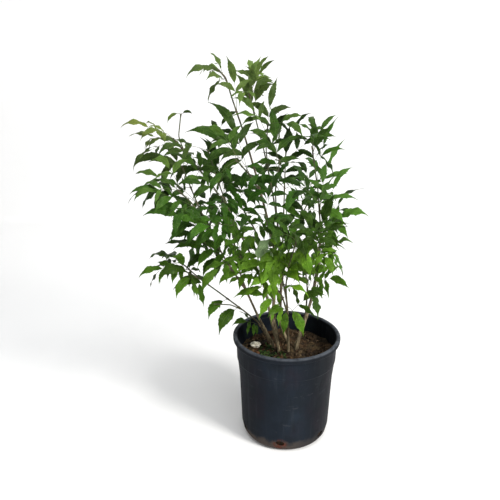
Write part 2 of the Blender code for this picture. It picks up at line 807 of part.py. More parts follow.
def leaf_to_tip(foot, tip, droop, roll, most_pairs):
    """A leaf from a foot, turned and sized until its last leaflet ends at a tip, if it can."""
    chord = tip - foot
    size = ARC_OVER_CHORD * chord.length / (LEAF_STALK + TERMINAL_LEAFLET)
    pairs = min(most_pairs, pairs_for(size))
    way = chord.normalized()
    droop *= 1.0 - UPRIGHT_STIFFNESS * max(0.0, way.z)
    direction = (way + Vector((0.0, 0.0, 0.8 * droop))).normalized()
    for _ in range(TIP_ROUNDS):
        leaf = Leaf(foot, direction, size, droop, roll, pairs)
        reached = leaf.tip() - foot
        if (reached - chord).length < TIP_MISS:
            return leaf
        direction = reached.rotation_difference(chord) @ direction
        size *= chord.length / reached.length
    return None


def feet_for(tip, shoots):
    """Places on the shoots from which a leaf could reach the tip, the best first."""
    found = []
    for points, _, _ in shoots:
        for a, b in zip(points[1:], points[2:]):
            for k in range(FEET_A_STEP):
                foot = a.lerp(b, k / FEET_A_STEP)
                chord = tip - foot
                size = ARC_OVER_CHORD * chord.length / (LEAF_STALK + TERMINAL_LEAFLET)
                if SMALLEST_LEAF <= size <= LARGEST_LEAF and foot.z > POT_HEIGHT:
                    backward = max(0.0, -0.1 - chord.normalized().dot((b - a).normalized()))
                    found.append((abs(size - BEST_LEAF) + backward, tuple(foot)))
    return [Vector(foot) for _, foot in sorted(found)]


def grow_edge_leaves(bush, rng, shoots, tips):
    """The leaves whose tips make the crown's edge."""
    leaves = []
    for wanted in tips:
        tip = seen_at(*wanted)
        feet = feet_for(tip, shoots)
        for attempt in range(EDGE_TRIES if feet else 0):
            loose = EDGE_LOOSENING * attempt
            shifted = tip + Vector([rng.uniform(-loose, loose) for _ in range(3)])
            foot = feet[min(len(feet) - 1, rng.randrange(1 + attempt))]
            droop = math.radians(rng.uniform(*EDGE_DROOP))
            most_pairs = 2 if attempt < EDGE_TRIES // 2 else 1
            leaf = leaf_to_tip(foot, shifted, droop, rng.uniform(-EDGE_ROLL, EDGE_ROLL), most_pairs)
            if leaf and in_crown(leaf.leaflets[:-1]) and bush.takes(leaf):
                leaves.append(leaf)
                break
    return leaves


def grow_leaf(bush, rng, base, way, axis_way, age, lean):
    """The first pose near the wanted one in which the leaf clears all that has grown."""
    for attempt in range(LEAF_TRIES):
        loose = math.radians(LOOSENESS[0] + LOOSENESS[1] * attempt)
        turn = rng.uniform(-loose, loose)
        open_angle = math.radians(OPENING[0] + OPENING[1] * age) + 0.5 * rng.uniform(-loose, loose)
        droop = math.radians(DROOPING[0] + DROOPING[1] * age) * rng.uniform(0.7, 1.3)
        size = (SIZING[0] + SIZING[1] * age) * rng.uniform(0.88, 1.08) * SHRINKING**attempt
        side = way * math.cos(turn) + axis_way.cross(way) * math.sin(turn)
        direction = axis_way * math.cos(open_angle) + side * math.sin(open_angle)
        direction = (direction + lean).normalized()
        leaf = Leaf(base, direction, size, droop, rng.uniform(-LEAF_ROLL, LEAF_ROLL), pairs_for(size))
        if in_crown(leaf.leaflets) and bush.takes(leaf):
            return leaf
    return None


def grow_leaves(bush, rng, points, pairs):
    """Opposite leaf pairs down a shoot from its tip, each a quarter turn from the last."""
    leaves = []
    quarter = rng.uniform(0.0, math.pi)
    back = list(reversed(points))
    lengths = [0.0]
    for a, b in zip(back, back[1:]):
        lengths.append(lengths[-1] + (a - b).length)
    for k in range(pairs):
        age = min(1.0, (k + 0.4) / OLD_AFTER)
        down = 0.004 + PAIR_SPACING * k * (1.0 + 0.08 * k)
        i = max(j for j in range(len(back) - 1) if lengths[j] <= down)
        t = min(1.0, (down - lengths[i]) / (lengths[i + 1] - lengths[i]))
        base = back[i].lerp(back[i + 1], t)
        axis_way = (back[i] - back[i + 1]).normalized()
        level = axis_way.cross(Vector((0.0, 0.0, 1.0)))
        level = level.normalized() if level.length > 1e-4 else Vector((1.0, 0.0, 0.0))
        other = axis_way.cross(level)
        angle = quarter + k * math.pi / 2
        way = level * math.cos(angle) + other * math.sin(angle)
        lean = Vector((base.x - LEAN_FROM[0], base.y - LEAN_FROM[1], LEAN_UP)) * LEAN_SHARE
        for side in (1.0, -1.0):
            foot = base + axis_way * FOOT_STAGGER * side
            leaf = grow_leaf(bush, rng, foot, way * side, axis_way, age, lean)
            if leaf:
                leaves.append(leaf)
    return leaves


def triangle_mesh(name, points, faces):
    mesh = bpy.data.meshes.new(name)
    mesh.from_pydata(points, [], faces)
    work = bmesh.new()
    work.from_mesh(mesh)
    bmesh.ops.recalc_face_normals(work, faces=work.faces)
    work.to_mesh(mesh)
    work.free()
    return mesh


def fuse(name, pieces, parts):
    """Joins overlapping pieces in one solid, by one union on their collection."""
    joined = bpy.data.collections.new(name + "_pieces")
    bpy.context.scene.collection.children.link(joined)
    trunk, rest = pieces[0], pieces[1:]
    for piece in rest:
        for owner in piece.users_collection:
            owner.objects.unlink(piece)
        joined.objects.link(piece)
    union = trunk.modifiers.new("join", "BOOLEAN")
    union.operation = "UNION"
    union.operand_type = "COLLECTION"
    union.collection = joined
    union.solver = "MANIFOLD"
    made = new_object(name, evaluated_mesh(trunk), parts)
    for piece in pieces:
        bpy.data.objects.remove(piece)
    bpy.data.collections.remove(joined)
    return made


def grow_crown(bush, shoots):
    """Each stem's leaves: first those at the crown's edge, then, on every stem, those inside it."""
    chances = {name: random.Random(stem["seed"]) for name, stem in STEMS.items()}
    leaves = {}
    for name, stem in STEMS.items():
        leaves[name] = grow_edge_leaves(bush, chances[name], shoots[name], stem["edge"])
    for name in STEMS:
        for points, _, pairs in shoots[name]:
            leaves[name] += grow_leaves(bush, chances[name], points, pairs)
    return leaves


def build_stems(parts, around):
    bush = Bush()
    for obj in around:
        bush.add_object(obj)
    shoots = {name: shoots_of(stem) for name, stem in STEMS.items()}
    tubes = {}
    for name in STEMS:
        tubes[name] = []
        for number, (points, radii, _) in enumerate(shoots[name]):
            piece = tube(f"{name}_shoot_{number}", points, radii, 1 if number == 0 else 0, parts)
            tubes[name].append(piece)
            bush.add_object(piece)
    leaves = grow_crown(bush, shoots)
    for name in STEMS:
        blades = []
        for number, leaf in enumerate(leaves[name]):
            mesh = triangle_mesh(f"{name}_leaf_{number}", *leaf.shape())
            blades.append(new_object(mesh.name, mesh, parts))
        node = fuse("leafy_stem_" + name, [*tubes[name], *blades], parts)
        shade(node, "leaf")


def main():
    clear_scene()
    parts = new_collection("potted_yellow_bells")
    cutters = new_collection("cutters")
    cutters.hide_render = True
    pot = build_pot(parts, cutters)
    soil = build_soil(parts, cutters)
    stone = build_stone(parts, soil)
    build_stems(parts, [pot, soil, stone])


main()
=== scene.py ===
"""Potted yellow bells: the looks of the pot, soil, stems and leaves, and the studio round them."""

import json
import math
import random

import bmesh
import bpy
from mathutils import Matrix, Vector, noise
from mathutils.bvhtree import BVHTree

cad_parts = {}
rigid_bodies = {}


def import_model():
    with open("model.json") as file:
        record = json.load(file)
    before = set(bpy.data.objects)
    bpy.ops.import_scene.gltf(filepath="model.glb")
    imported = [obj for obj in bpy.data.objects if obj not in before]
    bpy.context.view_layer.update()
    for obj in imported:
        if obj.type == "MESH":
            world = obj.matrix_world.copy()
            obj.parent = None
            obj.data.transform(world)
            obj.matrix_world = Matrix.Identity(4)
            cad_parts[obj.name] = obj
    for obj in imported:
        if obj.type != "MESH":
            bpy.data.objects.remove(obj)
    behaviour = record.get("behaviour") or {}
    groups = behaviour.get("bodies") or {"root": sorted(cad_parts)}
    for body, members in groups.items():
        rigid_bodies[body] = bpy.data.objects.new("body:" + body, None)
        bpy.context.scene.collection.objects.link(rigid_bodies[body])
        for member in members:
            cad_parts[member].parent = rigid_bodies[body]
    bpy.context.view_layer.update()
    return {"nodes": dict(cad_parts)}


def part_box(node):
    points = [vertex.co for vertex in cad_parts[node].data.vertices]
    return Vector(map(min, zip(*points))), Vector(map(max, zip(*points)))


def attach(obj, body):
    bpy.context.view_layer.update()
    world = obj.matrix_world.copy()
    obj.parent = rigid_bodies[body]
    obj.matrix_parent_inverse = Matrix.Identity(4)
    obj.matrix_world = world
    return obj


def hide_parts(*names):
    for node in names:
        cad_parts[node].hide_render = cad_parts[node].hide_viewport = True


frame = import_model()


# Pot
# A moulded nursery pot of dark blue-grey polypropylene, with a rolled lip, a step under the rim band and
# six drain holes through the foot of its side. It is turned from one profile. Dust clings to the foot,
# handling has scuffed the side, and rusty water has marked the hole in front.

POT_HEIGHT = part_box("pot")[1].z
LIP_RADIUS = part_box("pot")[1].x
POT_SIDE = [(0.0880, 0.0), (0.0965, 0.0035), (0.1022, 0.0120), (0.1062, 0.0300), (0.1093, 0.1080),
            (0.1116, 0.1580), (0.1160, 0.1985), (0.1176, 0.2005), (0.1190, 0.2465)]
POT_WALL = 0.0022
POT_FLOOR = 0.0030
FLOOR_EDGE = 0.0935
INNER_SIDE_HEIGHTS = [0.0120, 0.1580, 0.1985]
LIP_DEPTH = 0.0135
LIP_ROUND = 0.0028
LIP_LEAN = 0.0004
LIP_EASE = 0.0024
LIP_DRAFT = 0.0006
LIP_HEM = 0.0020
LIP_TUCK = 0.0030
POT_TURNS = 144
SEAM_GAP = 0.00005
CORNER_ROUND = 0.0016
CORNER_STEPS = (0.0, 0.33, 0.67, 1.0)
CORNER_MOST = 0.45
DRAIN_HOLES = 6
DRAIN_TURN = math.radians(-99.5)
DRAIN_HEIGHT = 0.0250
DRAIN_SIZE = (0.0105, 0.0075)
DRAIN_SIDES = 28
DRAIN_CUT = 0.030
RUST_BELOW_HOLE = 0.004
RUST_REACH = (0.021, 0.010)
# Where a look begins and where it is full, in metres, and between which shares of it.
# Painted shade: the pot's side darkens towards the right and towards the left.
PAINTED_SHADE_SIDES = (0.005, 0.080, 0.0, 0.92), (-0.040, -0.095, 0.0, 0.75)
# Painted highlight along the top of the lip, broken into patches.
PAINTED_HIGHLIGHT_HEIGHTS = (POT_HEIGHT - 0.0050, POT_HEIGHT - 0.0008)
# Painted shadow in the band under the lip.
PAINTED_RIM_SHADOW_HEIGHTS = (POT_HEIGHT - 0.0140, POT_HEIGHT - 0.0070, 0.0, 0.60)
DUST_HEIGHTS = (0.043, 0.023)
DUST_SIDES = (-0.010, 0.060, 0.92, 0.30)
DUST_RAGGED = 0.018
PLASTIC = (0.0118, 0.0165, 0.0240)
FADED = (0.0172, 0.0250, 0.0370)
# The colour of the painted shade on the right and left sides.
PAINTED_SIDE_SHADE = (0.0056, 0.0066, 0.0086)
PURPLE = (0.0160, 0.0130, 0.0185)
STREAKED = (0.0340, 0.0400, 0.0490)
DULL = (0.0105, 0.0140, 0.0175)
SCUFFED = (0.0450, 0.0490, 0.0560)
# The colour of the painted shadow under the lip.
PAINTED_RIM_SHADOW = (0.0090, 0.0105, 0.0135)
# The colour of the painted highlight on the lip.
PAINTED_RIM_HIGHLIGHT = (0.0680, 0.0760, 0.0900)
DUST = (0.0780, 0.0640, 0.0560)
RUST = (0.1050, 0.0360, 0.0240)


def side_radius(z):
    """The pot's outer side at a height."""
    for (low_radius, low), (high_radius, high) in zip(POT_SIDE, POT_SIDE[1:]):
        if z <= high:
            return low_radius + (high_radius - low_radius) * (z - low) / (high - low)
    return POT_SIDE[-1][0]


def rounded(profile, radius):
    """The profile with its corners turned into short arcs."""
    points = [Vector(p) for p in profile]
    made = [points[0]]
    for a, corner, b in zip(points, points[1:], points[2:]):
        back, ahead = a - corner, b - corner
        start = corner + back.normalized() * min(radius, CORNER_MOST * back.length)
        end = corner + ahead.normalized() * min(radius, CORNER_MOST * ahead.length)
        made += [start.lerp(corner, t).lerp(corner.lerp(end, t), t) for t in CORNER_STEPS]
    return [*made, points[-1]]


def pot_profile():
    """From the middle of the floor up the inner wall, over the lip, and down the outside."""
    under_lip = POT_HEIGHT - LIP_DEPTH
    inside = side_radius(under_lip) - POT_WALL
    return [
        (0.0, POT_FLOOR),
        (FLOOR_EDGE, POT_FLOOR),
        *[(side_radius(z) - POT_WALL, z) for z in INNER_SIDE_HEIGHTS],
        (inside + LIP_LEAN, POT_HEIGHT - LIP_ROUND),
        (inside + LIP_EASE, POT_HEIGHT),
        (LIP_RADIUS - LIP_ROUND, POT_HEIGHT),
        (LIP_RADIUS, POT_HEIGHT - LIP_ROUND),
        (LIP_RADIUS - LIP_DRAFT, under_lip + LIP_HEM),
        (LIP_RADIUS - LIP_TUCK, under_lip),
        *reversed(POT_SIDE),
        (0.0, 0.0),
    ]


def new_object(name, data):
    made = bpy.data.objects.new(name, data)
    bpy.context.scene.collection.objects.link(made)
    return made


def evaluated_mesh(obj):
    """The object's mesh with its modifiers applied, in place of the object."""
    bpy.context.view_layer.update()
    graph = bpy.context.evaluated_depsgraph_get()
    made = bpy.data.meshes.new_from_object(obj.evaluated_get(graph))
    bpy.data.objects.remove(obj)
    return made


def mesh_of(work, name, outward=True):
    """The mesh that was worked on, with its faces turned outward."""
    if outward:
        bmesh.ops.recalc_face_normals(work, faces=work.faces)
    mesh = bpy.data.meshes.new(name)
    work.to_mesh(mesh)
    work.free()
    return mesh


def turned(name, profile, steps):
    """A plain mesh turned about Z from a profile that starts and ends on the axis."""
    mesh = bpy.data.meshes.new(name)
    mesh.from_pydata([(p[0], 0.0, p[1]) for p in profile], [(i, i + 1) for i in range(len(profile) - 1)], [])
    outline = new_object(name + "_profile", mesh)
    screw = outline.modifiers.new("turn", "SCREW")
    screw.axis = "Z"
    screw.steps = screw.render_steps = steps
    screw.use_merge_vertices = True
    screw.merge_threshold = SEAM_GAP
    return evaluated_mesh(outline)


def finished(name, mesh, material, nodes=(), sharp=40):
    """A piece of the potted plant: smooth but for its sharp edges, standing for its solids."""
    piece = new_object(name, mesh)
    mesh.materials.clear()
    mesh.materials.append(material)
    mesh.shade_smooth()
    mesh.set_sharp_from_angle(angle=math.radians(sharp))
    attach(piece, "root")
    if nodes:
        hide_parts(*nodes)
    return piece


def feed(tree, socket, value):
    """Gives a socket another node's output, or a value."""
    if isinstance(value, bpy.types.NodeSocket):
        tree.links.new(value, socket)
    elif value is not None:
        socket.default_value = (*value, 1.0) if socket.type == "RGBA" else value


def connect(tree, node, **inputs):
    """Feeds a node's inputs by their names."""
    for name, value in inputs.items():
        feed(tree, node.inputs[name.replace("_", " ")], value)


def add_node(tree, kind, *inputs, **named):
    """A node with its settings, whose inputs are fed in order or, with a capital, by name."""
    made = tree.nodes.new(kind)
    for name, value in named.items():
        if name[0].islower():
            setattr(made, name, value)
    for socket, value in zip(made.inputs, inputs):
        feed(tree, socket, value)
    connect(tree, made, **{name: value for name, value in named.items() if name[0].isupper()})
    return made


def socket_of(sockets, identifier):
    return next(s for s in sockets if s.identifier == identifier)


def split(tree, vector):
    return add_node(tree, "ShaderNodeSeparateXYZ", vector).outputs


def maths(tree, operation, *inputs, clamp=False):
    return add_node(tree, "ShaderNodeMath", *inputs, operation=operation, use_clamp=clamp).outputs[0]


def times(tree, a, b):
    return maths(tree, "MULTIPLY", a, b)


def vector_maths(tree, operation, *inputs, **named):
    made = add_node(tree, "ShaderNodeVectorMath", *inputs, operation=operation, **named)
    return made.outputs["Value" if operation in ("LENGTH", "DISTANCE") else "Vector"]


def ramp(tree, value, low, high, to_low=0.0, to_high=1.0):
    """A value carried smoothly from one range to another, held at its ends."""
    inputs = (value, low, high, to_low, to_high)
    return add_node(tree, "ShaderNodeMapRange", *inputs, interpolation_type="SMOOTHSTEP").outputs["Result"]


def mixed(tree, share, a, b):
    """Colour a turned to colour b by a share."""
    made = add_node(tree, "ShaderNodeMix", data_type="RGBA")
    for name, value in (("Factor_Float", share), ("A_Color", a), ("B_Color", b)):
        feed(tree, socket_of(made.inputs, name), value)
    return socket_of(made.outputs, "Result_Color")


def layered(tree, colour, *layers):
    """A colour under layers, each given as its mask and its own colour."""
    for mask, paint in layers:
        colour = mixed(tree, mask, colour, paint)
    return colour


def blotch_group():
    """Blotches: where a noise of this size lies between two levels, the mask runs from 0 to 1."""
    tree = bpy.data.node_groups.new("blotches", "ShaderNodeTree")
    tree.interface.new_socket("Place", in_out="INPUT", socket_type="NodeSocketVector")
    for name in ("Scale", "Detail", "Low", "High"):
        tree.interface.new_socket(name, in_out="INPUT", socket_type="NodeSocketFloat")
    tree.interface.new_socket("Mask", in_out="OUTPUT", socket_type="NodeSocketFloat")
    place, scale, detail, low, high, _ = tree.nodes.new("NodeGroupInput").outputs
    field = add_node(tree, "ShaderNodeTexNoise", Vector=place, Scale=scale, Detail=detail, Roughness=0.6)
    add_node(tree, "NodeGroupOutput", ramp(tree, field.outputs[0], low, high))
    return tree


BLOTCHES = blotch_group()


def blotches(tree, place, scale, low, high, detail=4.0, share=1.0):
    """The blotches' mask, which reaches this share."""
    group = add_node(tree, "ShaderNodeGroup", place, scale, detail, low, high, node_tree=BLOTCHES)
    mask = group.outputs["Mask"]
    return mask if share == 1.0 else times(tree, mask, share)


def stretched(tree, place, z, y=1.0):
    """The place squeezed along its axes, which draws a pattern out the other way."""
    return vector_maths(tree, "MULTIPLY", place, (1.0, y, z))


def new_material(name, **constants):
    """A material with its tree, its shader and the surface's own coordinates."""
    made = bpy.data.materials.new(name)
    made.use_nodes = True
    tree = made.node_tree
    shader = tree.nodes["Principled BSDF"]
    connect(tree, shader, **constants)
    return made, tree, shader, tree.nodes.new("ShaderNodeTexCoord").outputs["Object"]


def raised(tree, shader, height, distance, strength=1.0):
    """Lights the surface as if it were raised by a height."""
    bump = add_node(tree, "ShaderNodeBump", Strength=strength, Distance=distance, Height=height)
    connect(tree, shader, Normal=bump.outputs["Normal"])


def pot_material():
    """Faded plastic under streaks, scuffs, dust and rust, with painted shade on its right and left sides, a
    painted shadow under the rim and a painted highlight on the rim.
    """
    material, tree, shader, place = new_material("pot_plastic", Specular_IOR_Level=0.10, IOR=1.3)
    x, _, z = split(tree, place)
    to_right, to_left = (ramp(tree, x, *side) for side in PAINTED_SHADE_SIDES)
    scuffs = blotches(tree, stretched(tree, place, 3.2), 34.0, 0.62, 0.73, 6.0, 0.50)
    # Patches that break up the painted highlight on the lip.
    highlight_patches = ramp(tree, blotches(tree, place, 38.0, 0.30, 0.62), 0.0, 1.0, 0.35, 1.0)
    rim = times(tree, ramp(tree, z, *PAINTED_HIGHLIGHT_HEIGHTS), highlight_patches)
    ragged = blotches(tree, place, 46.0, 0.30, 0.80, share=DUST_RAGGED)
    foot = ramp(tree, maths(tree, "ADD", z, ragged), *DUST_HEIGHTS)
    foot = times(tree, foot, ramp(tree, x, *DUST_SIDES))
    reach = side_radius(DRAIN_HEIGHT)
    hole = (reach * math.cos(DRAIN_TURN), reach * math.sin(DRAIN_TURN), DRAIN_HEIGHT - RUST_BELOW_HOLE)
    near = ramp(tree, vector_maths(tree, "DISTANCE", place, hole), *RUST_REACH)
    rust = blotches(tree, place, 90.0, 0.34, 0.56, share=near)
    colour = layered(
        tree, PLASTIC,
        (blotches(tree, place, 8.0, 0.36, 0.70), FADED),
        # Painted shade on the right and left sides.
        (maths(tree, "MAXIMUM", to_right, to_left), PAINTED_SIDE_SHADE),
        (blotches(tree, stretched(tree, place, 0.45), 17.0, 0.50, 0.70, share=0.55), PURPLE),
        (blotches(tree, stretched(tree, place, 0.06), 95.0, 0.52, 0.72, share=0.26), STREAKED),
        (blotches(tree, stretched(tree, place, 0.7), 30.0, 0.48, 0.66, share=0.45), DULL),
        (scuffs, SCUFFED),
        # Painted shadow under the lip.
        (ramp(tree, z, *PAINTED_RIM_SHADOW_HEIGHTS), PAINTED_RIM_SHADOW),
        # Painted highlight on the lip.
        (rim, PAINTED_RIM_HIGHLIGHT),
        (foot, DUST),
        (rust, RUST),
    )
    worn = maths(tree, "ADD", scuffs, maths(tree, "ADD", foot, rust), clamp=True)
    connect(tree, shader, Base_Color=colour, Roughness=ramp(tree, worn, 0.0, 0.8, 0.55, 0.85))
    waves = blotches(tree, stretched(tree, place, 0.3), 26.0, 0.2, 0.8)
    grain = blotches(tree, place, 620.0, 0.2, 0.8, share=0.10)
    raised(tree, shader, maths(tree, "ADD", grain, waves), 0.0008, 0.55)
    return material


def drain_cutters():
    """Rods with rounded oval sections, one through the foot of the side at each drain hole."""
    made = bpy.data.collections.new("drain_cutters")
    half_wide, half_high = DRAIN_SIZE
    for i in range(DRAIN_HOLES):
        turn = DRAIN_TURN + math.tau * i / DRAIN_HOLES
        work = bmesh.new()
        bmesh.ops.create_cone(
            work, cap_ends=True, segments=DRAIN_SIDES, radius1=1.0, radius2=1.0, depth=DRAIN_CUT
        )
        for v in work.verts:
            v.co = (v.co.z, v.co.x * half_wide, v.co.y * half_high)
        reach = side_radius(DRAIN_HEIGHT)
        place = Matrix.Translation((reach * math.cos(turn), reach * math.sin(turn), DRAIN_HEIGHT))
        work.transform(place @ Matrix.Rotation(turn, 4, "Z"))
        made.objects.link(bpy.data.objects.new(f"drain_cutter_{i}", mesh_of(work, "drain_cutter")))
    return made


cutters = drain_cutters()
uncut = new_object("pot_uncut", turned("pot_side", rounded(pot_profile(), CORNER_ROUND), POT_TURNS))
cut = uncut.modifiers.new("cut", "BOOLEAN")
cut.operation = "DIFFERENCE"
cut.operand_type = "COLLECTION"
cut.collection = cutters
finished("nursery_pot", evaluated_mesh(uncut), pot_material(), ["pot"], sharp=32)
for spent in list(cutters.objects):
    bpy.data.objects.remove(spent)


# Soil
# Composted bark and peat, dark brown and lumpy, which has sunk to about 47 mm below the rim. Its surface
# is turned and then raised in lumps, and loose crumbs and clods lie on it.

SOIL_LEVEL = 0.2125
SOIL_WAVES = 0.0022
SOIL_WAVE_RATES = (61, 53)
SOIL_WAVE_STARTS = (1.3, 0.4)
SOIL_RIPPLES = 0.0012
SOIL_RIPPLE_RATES = (131, -97)
SOIL_MOUND = 0.0050
MOUND_MIDDLE = 0.02
MOUND_SPREAD = 0.0016
SOIL_SLOPE = 0.030
SOIL_FIT = 0.0004
SOIL_FOOT_ROUND = 0.0070
SOIL_RINGS = 84
SOIL_TURNS = 180
SOIL_EDGE_FIT = 0.0008
SOIL_EDGE = side_radius(SOIL_LEVEL) - POT_WALL - SOIL_EDGE_FIT
LEVEL_SLACK = 0.001
# Each noise of the surface as its scale and height.
LUMPS = (46.0, 0.0085)
SMALLER_LUMPS = (118.0, 0.0040)
GRAINS = (330.0, 0.0008)
LUMPS_SINK = 0.0034
SURFACE_DEPTH = 0.010
UPWARD = 0.35
CRUMBS = {"Per_square_metre": 30000.0, "Smallest": 0.0006, "Largest": 0.0026, "Facets": 1, "Seed": 4}
CLODS = {"Per_square_metre": 5200.0, "Smallest": 0.0020, "Largest": 0.0085, "Facets": 2, "Seed": 9}
CLODS_WITHIN = SOIL_EDGE - 0.0095
LUMP_SHAPE = (1.0, 0.8, 0.62)
DENT_SCALE = 420.0
DENT_DEPTH = 2.2
ANY_WAY = (6.28, 6.28, 6.28)
RED_SIDES = (-0.02, 0.05, 0.90, 0.35)
# Dark patches, partly damp soil and partly painted shade, stronger on the left.
DAMP_AND_SHADE_SIDES = (-0.06, 0.04, 0.92, 0.68)
DAMP_AND_SHADE = (0.0060, 0.0042, 0.0032)
FIBRE = (0.150, 0.105, 0.062)
# Dark, light and red.
SOIL_COLOURS = (0.0300, 0.0200, 0.0095), (0.1020, 0.0690, 0.0330), (0.0980, 0.0420, 0.0160)
CLOD_COLOURS = (0.0500, 0.0320, 0.0160), (0.1700, 0.1160, 0.0580), (0.1400, 0.0590, 0.0240)


def soil_height(x, y):
    """The soil's surface: low waves, a little higher on the right and round the stems."""
    (rate_x, rate_y), (start_x, start_y) = SOIL_WAVE_RATES, SOIL_WAVE_STARTS
    waves = SOIL_WAVES * math.sin(rate_x * x + start_x) * math.cos(rate_y * y + start_y)
    waves += SOIL_RIPPLES * math.sin(SOIL_RIPPLE_RATES[0] * x + SOIL_RIPPLE_RATES[1] * y)
    mound = SOIL_MOUND * math.exp(-(x * x + (y - MOUND_MIDDLE) ** 2) / MOUND_SPREAD)
    return SOIL_LEVEL + waves + mound + SOIL_SLOPE * x


def noise_at(place, scale, height):
    return noise.noise(place * scale) * height


def lumpy_height(x, y):
    """The surface with its clods: broad lumps that break into smaller ones."""
    lumps, smaller, grains = (noise_at(Vector((x, y, 0.0)), *kind) for kind in (LUMPS, SMALLER_LUMPS, GRAINS))
    return soil_height(x, y) + (abs(lumps) + abs(smaller)) + grains - LUMPS_SINK


def soil_mesh():
    low = POT_FLOOR + SOIL_FIT
    side = [(side_radius(z) - POT_WALL - SOIL_FIT, z) for z in reversed(INNER_SIDE_HEIGHTS)]
    rings = [(SOIL_EDGE * i / SOIL_RINGS, SOIL_LEVEL) for i in range(SOIL_RINGS + 1)]
    foot = [(side[-1][0] - SOIL_FOOT_ROUND, low), (0.0, low)]
    mesh = turned("soil_turned", [*rings, *side, *foot], SOIL_TURNS)
    for v in mesh.vertices:
        if v.co.z > SOIL_LEVEL - LEVEL_SLACK:
            v.co.z = lumpy_height(v.co.x, v.co.y)
    return mesh


def soil_material(name, dark, light, red):
    """Brown lumps with red bark, dark patches that are partly damp and partly painted shade, mostly on the
    left, and pale fibres.
    """
    material, tree, shader, place = new_material(name, Specular_IOR_Level=0.25)
    x, _, _ = split(tree, place)
    fibres = blotches(tree, stretched(tree, place, 1.0, 2.6), 330.0, 0.62, 0.72)
    colour = layered(
        tree, dark,
        (blotches(tree, place, 95.0, 0.36, 0.66, 8.0), light),
        (blotches(tree, place, 31.0, 0.42, 0.62, share=ramp(tree, x, *RED_SIDES)), red),
        # Damp patches that are also painted shade, the more so on the left.
        (blotches(tree, place, 29.0, 0.44, 0.58, share=ramp(tree, x, *DAMP_AND_SHADE_SIDES)), DAMP_AND_SHADE),
        (times(tree, fibres, 0.55), FIBRE),
    )
    connect(tree, shader, Base_Color=colour, Roughness=ramp(tree, fibres, 0.0, 1.0, 0.95, 0.80))
    coarse, fine = blotches(tree, place, 260.0, 0.2, 0.8, 8.0), blotches(tree, place, 900.0, 0.3, 0.7)
    raised(tree, shader, maths(tree, "ADD", coarse, fine), 0.0011, 0.9)
    return material


def new_tree(name, **sockets):
    """An empty node tree from geometry to geometry, with these further named inputs and their kinds."""
    tree = bpy.data.node_groups.new(name, "GeometryNodeTree")
    for label, kind in {"Base": "Geometry", **sockets}.items():
        tree.interface.new_socket(label.replace("_", " "), in_out="INPUT", socket_type="NodeSocket" + kind)
    tree.interface.new_socket("Piece", in_out="OUTPUT", socket_type="NodeSocketGeometry")
    return tree, tree.nodes.new("NodeGroupInput").outputs


def end_tree(tree, geometry, material):
    """Makes the instances real, gives them their material and puts them out."""
    real = add_node(tree, "GeometryNodeRealizeInstances", geometry).outputs[0]
    painted = add_node(tree, "GeometryNodeSetMaterial", real, Material=material)
    add_node(tree, "NodeGroupOutput", painted.outputs[0])
    return tree


def grown_mesh(base_mesh, tree, **inputs):
    """The plain mesh that a node tree makes from a base mesh, given the tree's named inputs."""
    base = new_object("base", base_mesh)
    modifier = base.modifiers.new("grow", "NODES")
    modifier.node_group = tree
    sockets = {s.name: s.identifier for s in tree.interface.items_tree if s.in_out == "INPUT"}
    for name, value in inputs.items():
        modifier[sockets[name.replace("_", " ")]] = value
    return evaluated_mesh(base)


def strewn_points(tree, given):
    """Points at random on the base's upward faces."""
    _, _, up = split(tree, add_node(tree, "GeometryNodeInputNormal").outputs[0])
    return add_node(
        tree, "GeometryNodeDistributePointsOnFaces", Mesh=given["Base"], Seed=given["Seed"],
        Selection=maths(tree, "GREATER_THAN", up, UPWARD), Density=given["Per square metre"],
    ).outputs["Points"]


def random_value(tree, low, high, kind="FLOAT"):
    """A value between two, drawn for each point."""
    made = add_node(tree, "FunctionNodeRandomValue", data_type=kind)
    ending = "_001" if kind == "FLOAT" else ""
    feed(tree, socket_of(made.inputs, "Min" + ending), low)
    feed(tree, socket_of(made.inputs, "Max" + ending), high)
    return socket_of(made.outputs, "Value" + ending)


def random_turn(tree, low, high):
    turn = random_value(tree, low, high, "FLOAT_VECTOR")
    return add_node(tree, "FunctionNodeEulerToRotation", turn).outputs[0]


def along_normals(tree, geometry, height):
    """The geometry moved out along its normals."""
    away = vector_maths(tree, "SCALE", add_node(tree, "GeometryNodeInputNormal").outputs[0], Scale=height)
    return add_node(tree, "GeometryNodeSetPosition", geometry, Offset=away).outputs[0]


def scatter_tree():
    """Lumps of random size, turn and dent, strewn on the upward faces of the base."""
    tree, given = new_tree("scatter", Per_square_metre="Float", Smallest="Float", Largest="Float",
                           Facets="Int", Seed="Int", Finish="Material")
    rare = maths(tree, "POWER", random_value(tree, 0.0, 1.0), 3.0)
    growth = maths(tree, "SUBTRACT", given["Largest"], given["Smallest"])
    size = maths(tree, "MULTIPLY_ADD", rare, growth, given["Smallest"])
    lump = add_node(tree, "GeometryNodeMeshIcoSphere", Subdivisions=given["Facets"])
    strewn = add_node(
        tree, "GeometryNodeInstanceOnPoints",
        Points=strewn_points(tree, given), Instance=lump.outputs["Mesh"],
        Rotation=random_turn(tree, (0.0, 0.0, 0.0), ANY_WAY),
        Scale=vector_maths(tree, "SCALE", LUMP_SHAPE, Scale=size),
    )
    real = add_node(tree, "GeometryNodeRealizeInstances", strewn.outputs[0]).outputs[0]
    place = tree.nodes.new("GeometryNodeInputPosition").outputs[0]
    dents = add_node(tree, "ShaderNodeTexNoise", Vector=place, Scale=DENT_SCALE).outputs[0]
    dent = times(tree, maths(tree, "SUBTRACT", dents, 0.5), given["Smallest"])
    return end_tree(tree, along_normals(tree, real, times(tree, dent, DENT_DEPTH)), given["Finish"])


def in_oval(x, y, middle_x, middle_y, wide, high):
    return ((x - middle_x) / wide) ** 2 + ((y - middle_y) / high) ** 2 < 1.0


